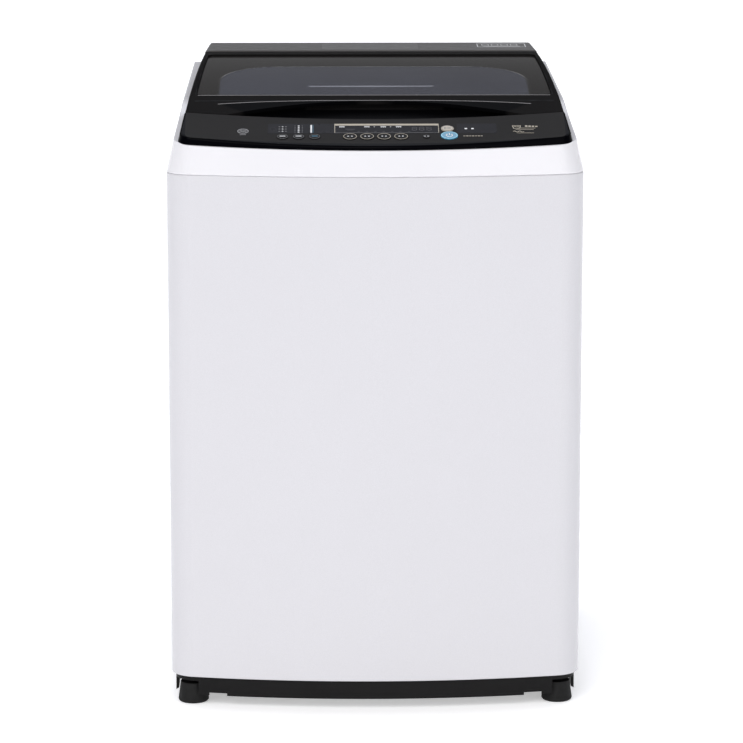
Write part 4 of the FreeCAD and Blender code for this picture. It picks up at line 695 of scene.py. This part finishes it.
def add_start_and_power(finishes):
    across, radius = across_of("start_button"), radius_of("start_button") - 0.6
    start = Marks(on_panel, BUTTON_PROUD)
    start.ring(across, START_ROW, radius - 0.8, 0.5)
    arrow_back, arrow_tip, arrow_half = across - 4.6, across - 0.6, 2.6
    start.patch([(arrow_back, START_ROW - arrow_half), (arrow_tip, START_ROW),
                 (arrow_back, START_ROW + arrow_half)])
    for step in (1.0, 3.6):
        start.bar(across + step, START_ROW, 1.3, 5.0, 0.3)
    start.piece("start_symbol", "start_button_body", "button_cream", finishes["grey_ink"])

    across, radius = across_of("power_button"), radius_of("power_button") - 0.6
    rim = Marks(on_panel, BUTTON_PROUD)
    rim.ring(across, POWER_ROW, radius - 0.9, 0.9)
    rim.piece("power_ring", "power_button_body", "button_blue", finishes["lit_blue"])
    power = Marks(on_panel, BUTTON_PROUD)
    arc_radius, arc_row, line = 4.4, POWER_ROW - 0.4, 1.3
    gap_edge, arc_turn, steps = 35, 290, 20
    angles = [math.radians(gap_edge + step * arc_turn / steps) for step in range(steps + 1)]
    power.stroke([(across + arc_radius * math.sin(angle), arc_row + arc_radius * math.cos(angle))
                  for angle in angles], line)
    power.bar(across, POWER_ROW + 3.0, line, 5.4, 0.4)
    power.piece("power_symbol", "power_button_body", "button_blue", finishes["white_ink_and_glow"])


def add_side_marks(finishes):
    """Generic badge on the left, hints beside the two large buttons, pictograms on the right."""
    badge = Marks(on_panel)
    x, y = -189.7, 42.5
    badge.ring(x, y, 8.0, 0.9)
    badge.ring(x, y, 6.1, 0.5)
    for level in (-2.2, 0.0, 2.2):
        badge.wave(x, y + level, 8.4, 0.7, 0.7)
    badge.bar(x, y - 11.6, 9.0, 1.1, 0.4)
    badge.piece("badge", "root", "button_cream", finishes["badge_ink"])

    hints = Marks(on_panel, LENS_PROUD)
    for across in (130.0, 139.5):
        hints.bar(across, START_ROW, 3.8, 3.8, 0.9)
    hints.piece("start_hint", "root", "button_cream", finishes["white_ink_and_glow"])
    lines = Marks(on_panel)
    for index in range(7):
        lines.bar(127.0 + index * 4.1, POWER_ROW - 0.5, 3.0, 1.5 + 0.5 * (index % 2), 0.4)
    lines.piece("power_hint", "root", "button_cream", finishes["cream_ink"])

    icons = Marks(on_panel)
    add_tub_icon(icons, 203.0, 55.0)
    for index in range(4):
        icons.bar(217.0 + index * 4.8, 58.0 - 0.4 * index, 3.6, 4.6 - 0.5 * index, 0.6)
    icons.bar(217.0, 51.4, 26.0, 1.0, 0.4)
    icons.piece("wash_pictogram", "root", "button_cream", finishes["cream_ink"])
    lower = Marks(on_panel)
    lower.wave(205.0, 40.0, 15.0, 1.7, 1.1, 2.0)
    lower.bar(215.0, 35.2, 24.0, 0.8, 0.3)
    lower.bar(214.0, 46.6, 26.0, 0.8, 0.3)
    lower.piece("rinse_pictogram", "root", "button_cream", finishes["cream_ink"])


def add_tub_icon(marks, x, y):
    """A wash tub: a tapered basin with water in it."""
    outer = [(x - 6.5, y + 5), (x - 4.8, y - 5), (x + 4.8, y - 5), (x + 6.5, y + 5)]
    inner = [(x - 5.2, y + 4), (x - 3.9, y - 4), (x + 3.9, y - 4), (x + 5.2, y + 4)]
    marks.band(outer, inner)
    marks.wave(x, y + 1.2, 8.0, 0.9, 0.9)


def add_deck_labels(finishes):
    """Blank labels on the rear deck."""
    wide = Marks(on_deck)
    wide.bar(-1.0, 250.0, 150.0, 78.0, 3.0)
    wide.piece("deck_label", "root", "deck_grey", finishes["label_grey"])
    small = Marks(on_deck)
    small.frame(205.0, 262.0, 76.0, 44.0, 1.2, 2.0)
    for column in range(4):
        small.frame(180.0 + column * 15.0, 266.0, 11.0, 20.0, 0.9, 1.5)
    small.bar(205.0, 248.0, 58.0, 2.0, 0.5)
    small.piece("notice_label", "root", "deck_grey", finishes["white_ink_and_glow"])


# ---------------------------------------------------------------- painted highlight and shade lines on the lid

def scoop_edge(across):
    """The back edge of the finger scoop's lens."""
    return SCOOP_BACK - SCOOP_DROOP * (abs(across) / SCOOP_HALF) ** 3


def even_places(half, count=40):
    """Evenly spaced places from -half to half."""
    return [half * (2 * step / count - 1) for step in range(count + 1)]


def add_lid_lines(finishes):
    """Painted highlights: light strips along the lips of the window and the scoop. Painted shade: dark
    strips where the grooves beside them lie.
    """
    lip_highlights = Marks(on_lid)
    window_lip, scoop_lip = 1.3, 1.5
    # Painted highlight: lighter strips where the lips of the window and the scoop catch light.
    lip_highlights.stroke([(across, WINDOW_FRONT - 1.8) for across in even_places(WINDOW_FRONT_HALF - 2)], window_lip)
    lip_highlights.stroke([(across, scoop_edge(across) + 1.2) for across in even_places(SCOOP_HALF + 10)], scoop_lip)
    lip_highlights.piece("lid_lip_highlights", "lid", "lid_black", finishes["painted_lip_highlight"])

    # Painted shade: dark strips where the crease above the scoop and the gaps along the window's sides throw
    # shade.
    groove_shadows = Marks(on_lid)
    wedge_row, wedge_start, wedge_end, wedge_width = WINDOW_FRONT - 18.4, 110, 262, 4.6
    side_shade_line, side_gap, stride = 2.0, 1.6, 10
    for side in (-1, 1):
        sweep = [(side * across, wedge_row) for across in range(wedge_end, wedge_start, -8)]
        far = [(x, y - wedge_width * (abs(x) - wedge_start) / (wedge_end - wedge_start)) for x, y in sweep]
        groove_shadows.patch(sweep + far[::-1])
        groove_shadows.stroke([(side * (WINDOW_FRONT_HALF + side_gap - WINDOW_TAPER * stride * step),
                         WINDOW_FRONT + stride * step) for step in range(28)], side_shade_line)
    groove_shadows.piece("lid_groove_shadows", "lid", "lid_black", finishes["groove_shade_paint"])


# ---------------------------------------------------------------- smoked window

def smooth(value):
    share = min(1.0, max(0.0, value))
    return share * share * (3 - 2 * share)


def arch_distance(x, y):
    """How far a point lies inside the arch that is moulded into the window."""
    tiny = 1e-6
    wing = max(abs(x) - ARCH_FLAT, 0.0) / ARCH_SPREAD
    length = max(y - ARCH_MIDDLE, 0.0) / ARCH_DEPTH
    reach = math.hypot(wing, length)
    if reach < tiny:
        return ARCH_SPREAD
    slope = math.hypot(wing / ARCH_SPREAD, length / ARCH_DEPTH) / reach
    return (1 - reach) / max(slope, tiny)


def bead(distance):
    """The share of a bead's height at a distance from its middle line."""
    return math.exp(-(distance / BEAD_WIDTH) ** 2)


def window_relief(x, y):
    """The window's height above its plain face: a raised arch and a sunk step, each with a bead."""
    inside = arch_distance(x, y)
    arch = ARCH_HEIGHT * smooth(inside / ARCH_EASE + 0.5) + ARCH_BEAD * bead(inside)
    step = min(x - STEP_LEFT, STEP_RIGHT - x, STEP_BACK - y)
    step_bead = STEP_BEAD + STEP_BEAD_EXTRA * math.exp(-(x / STEP_BEAD_SPREAD) ** 2)
    return arch - STEP_HEIGHT * smooth(step / STEP_EASE + 0.5) + step_bead * bead(step)


def add_window(finishes):
    """The smoked window as one closed sheet with its moulded relief."""
    mesh = bmesh.new()
    columns, rows = 250, 130
    top, bottom = [], []
    for row in range(rows + 1):
        y = WINDOW_FRONT + (WINDOW_BACK - WINDOW_FRONT) * (0.5 - 0.5 * math.cos(math.pi * row / rows))
        near = max(0.0, WINDOW_CORNER - min(y - WINDOW_FRONT, WINDOW_BACK - y))
        cut = WINDOW_CORNER - math.sqrt(max(0.0, WINDOW_CORNER ** 2 - near ** 2))
        half = WINDOW_FRONT_HALF - WINDOW_TAPER * (y - WINDOW_FRONT) - cut
        skin = skin_height(y)
        upper, lower = [], []
        for column in range(columns + 1):
            x = half * (2 * column / columns - 1)
            upper.append(mesh.verts.new(Vector((x, y, skin - GLASS_TOP + window_relief(x, y))) * MM))
            lower.append(mesh.verts.new(Vector((x, y, skin - GLASS_BOTTOM)) * MM))
        top.append(upper)
        bottom.append(lower)
    for row in range(rows):
        for column in range(columns):
            for sheet in (top, bottom):
                mesh.faces.new((sheet[row][column], sheet[row][column + 1],
                                sheet[row + 1][column + 1], sheet[row + 1][column]))
    for upper, lower in ((top[0], bottom[0]), (top[-1], bottom[-1]),
                         ([line[0] for line in top], [line[0] for line in bottom]),
                         ([line[-1] for line in top], [line[-1] for line in bottom])):
        for index in range(len(upper) - 1):
            mesh.faces.new((upper[index], upper[index + 1], lower[index + 1], lower[index]))
    window = add_piece("window", mesh, "lid", finishes["smoked_glass"], smooth=True)
    crisp_angle = math.radians(35)
    window.data.set_sharp_from_angle(angle=crisp_angle)
    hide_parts("lid_glass")


# ---------------------------------------------------------------- coil springs

WIRE_RADIUS, COIL_RADIUS = 0.0014, 0.0125
COIL_TURNS, COIL_STEPS, WIRE_SIDES = 9, 24, 10
CLOSED_SHARE, CLOSED_PITCH = 0.1, 0.35


def coil_rise(share):
    """A spring's climb: the end turns lie close together."""
    if share < CLOSED_SHARE:
        return share * CLOSED_PITCH
    if share > 1 - CLOSED_SHARE:
        return 1 - (1 - share) * CLOSED_PITCH
    edge = CLOSED_SHARE * CLOSED_PITCH
    return edge + (share - CLOSED_SHARE) / (1 - 2 * CLOSED_SHARE) * (1 - 2 * edge)


def wire_ring(mesh, middle, out):
    """One ring of points round the wire."""
    up = Vector((0, 0, 1))
    angles = [side * math.tau / WIRE_SIDES for side in range(WIRE_SIDES)]
    return [mesh.verts.new(middle + out * WIRE_RADIUS * math.cos(angle) + up * WIRE_RADIUS * math.sin(angle))
            for angle in angles]


def add_coil(mesh, centre, bottom, top):
    """One coil of round wire with closed ends."""
    rings = []
    steps = COIL_TURNS * COIL_STEPS
    for step in range(steps + 1):
        share = step / steps
        angle = share * COIL_TURNS * math.tau
        out = Vector((math.cos(angle), math.sin(angle), 0))
        height = bottom + WIRE_RADIUS + coil_rise(share) * (top - bottom - 2 * WIRE_RADIUS)
        rings.append(wire_ring(mesh, centre + out * COIL_RADIUS + Vector((0, 0, height)), out))
    for before, after in zip(rings, rings[1:]):
        for side in range(WIRE_SIDES):
            near = (side + 1) % WIRE_SIDES
            mesh.faces.new((before[side], before[near], after[near], after[side]))
    mesh.faces.new(rings[0][::-1])
    mesh.faces.new(rings[-1])


def add_springs(finishes):
    """Four coil springs between the rod cups and the damper cups."""
    low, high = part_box("suspension_springs")
    reach = COIL_RADIUS + WIRE_RADIUS
    mesh = bmesh.new()
    for side_x in (-1, 1):
        for side_y in (-1, 1):
            centre = Vector((side_x * (high.x - reach), side_y * (high.y - reach), 0))
            add_coil(mesh, centre, low.z, high.z)
    springs = add_piece("coil_springs", mesh, None, finishes["zinc_steel"], smooth=True)
    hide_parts("suspension_springs")
    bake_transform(springs)


# ---------------------------------------------------------------- floor and finish

def add_floor():
    """A plain pale floor that runs far past the view."""
    mesh = bmesh.new()
    bmesh.ops.create_circle(mesh, cap_ends=True, segments=96, radius=60)
    data = bpy.data.meshes.new("floor")
    mesh.to_mesh(data)
    mesh.free()
    finish = Finish("floor", Specular_IOR_Level=0.1, Emission_Color=(1, 1, 1, 1), Emission_Strength=0.4)
    cloud = finish.noise(0.8, 3)
    tint = finish.mix(finish.spread(cloud, 0, 1), (0.86, 0.86, 0.87, 1), (0.9, 0.9, 0.9, 1))
    data.materials.append(finish.wear(Base_Color=tint, Roughness=finish.spread(cloud, 0.75, 0.85)))
    floor = bpy.data.objects.new("floor", data)
    bpy.context.scene.collection.objects.link(floor)


def build():
    add_camera()
    add_lights()
    add_world()
    add_floor()
    finishes = make_finishes()
    dress_nodes(finishes)
    add_window(finishes)
    add_display(finishes)
    add_indicators(finishes)
    add_button_marks(finishes)
    add_start_and_power(finishes)
    add_side_marks(finishes)
    add_deck_labels(finishes)
    add_lid_lines(finishes)
    add_springs(finishes)


build()
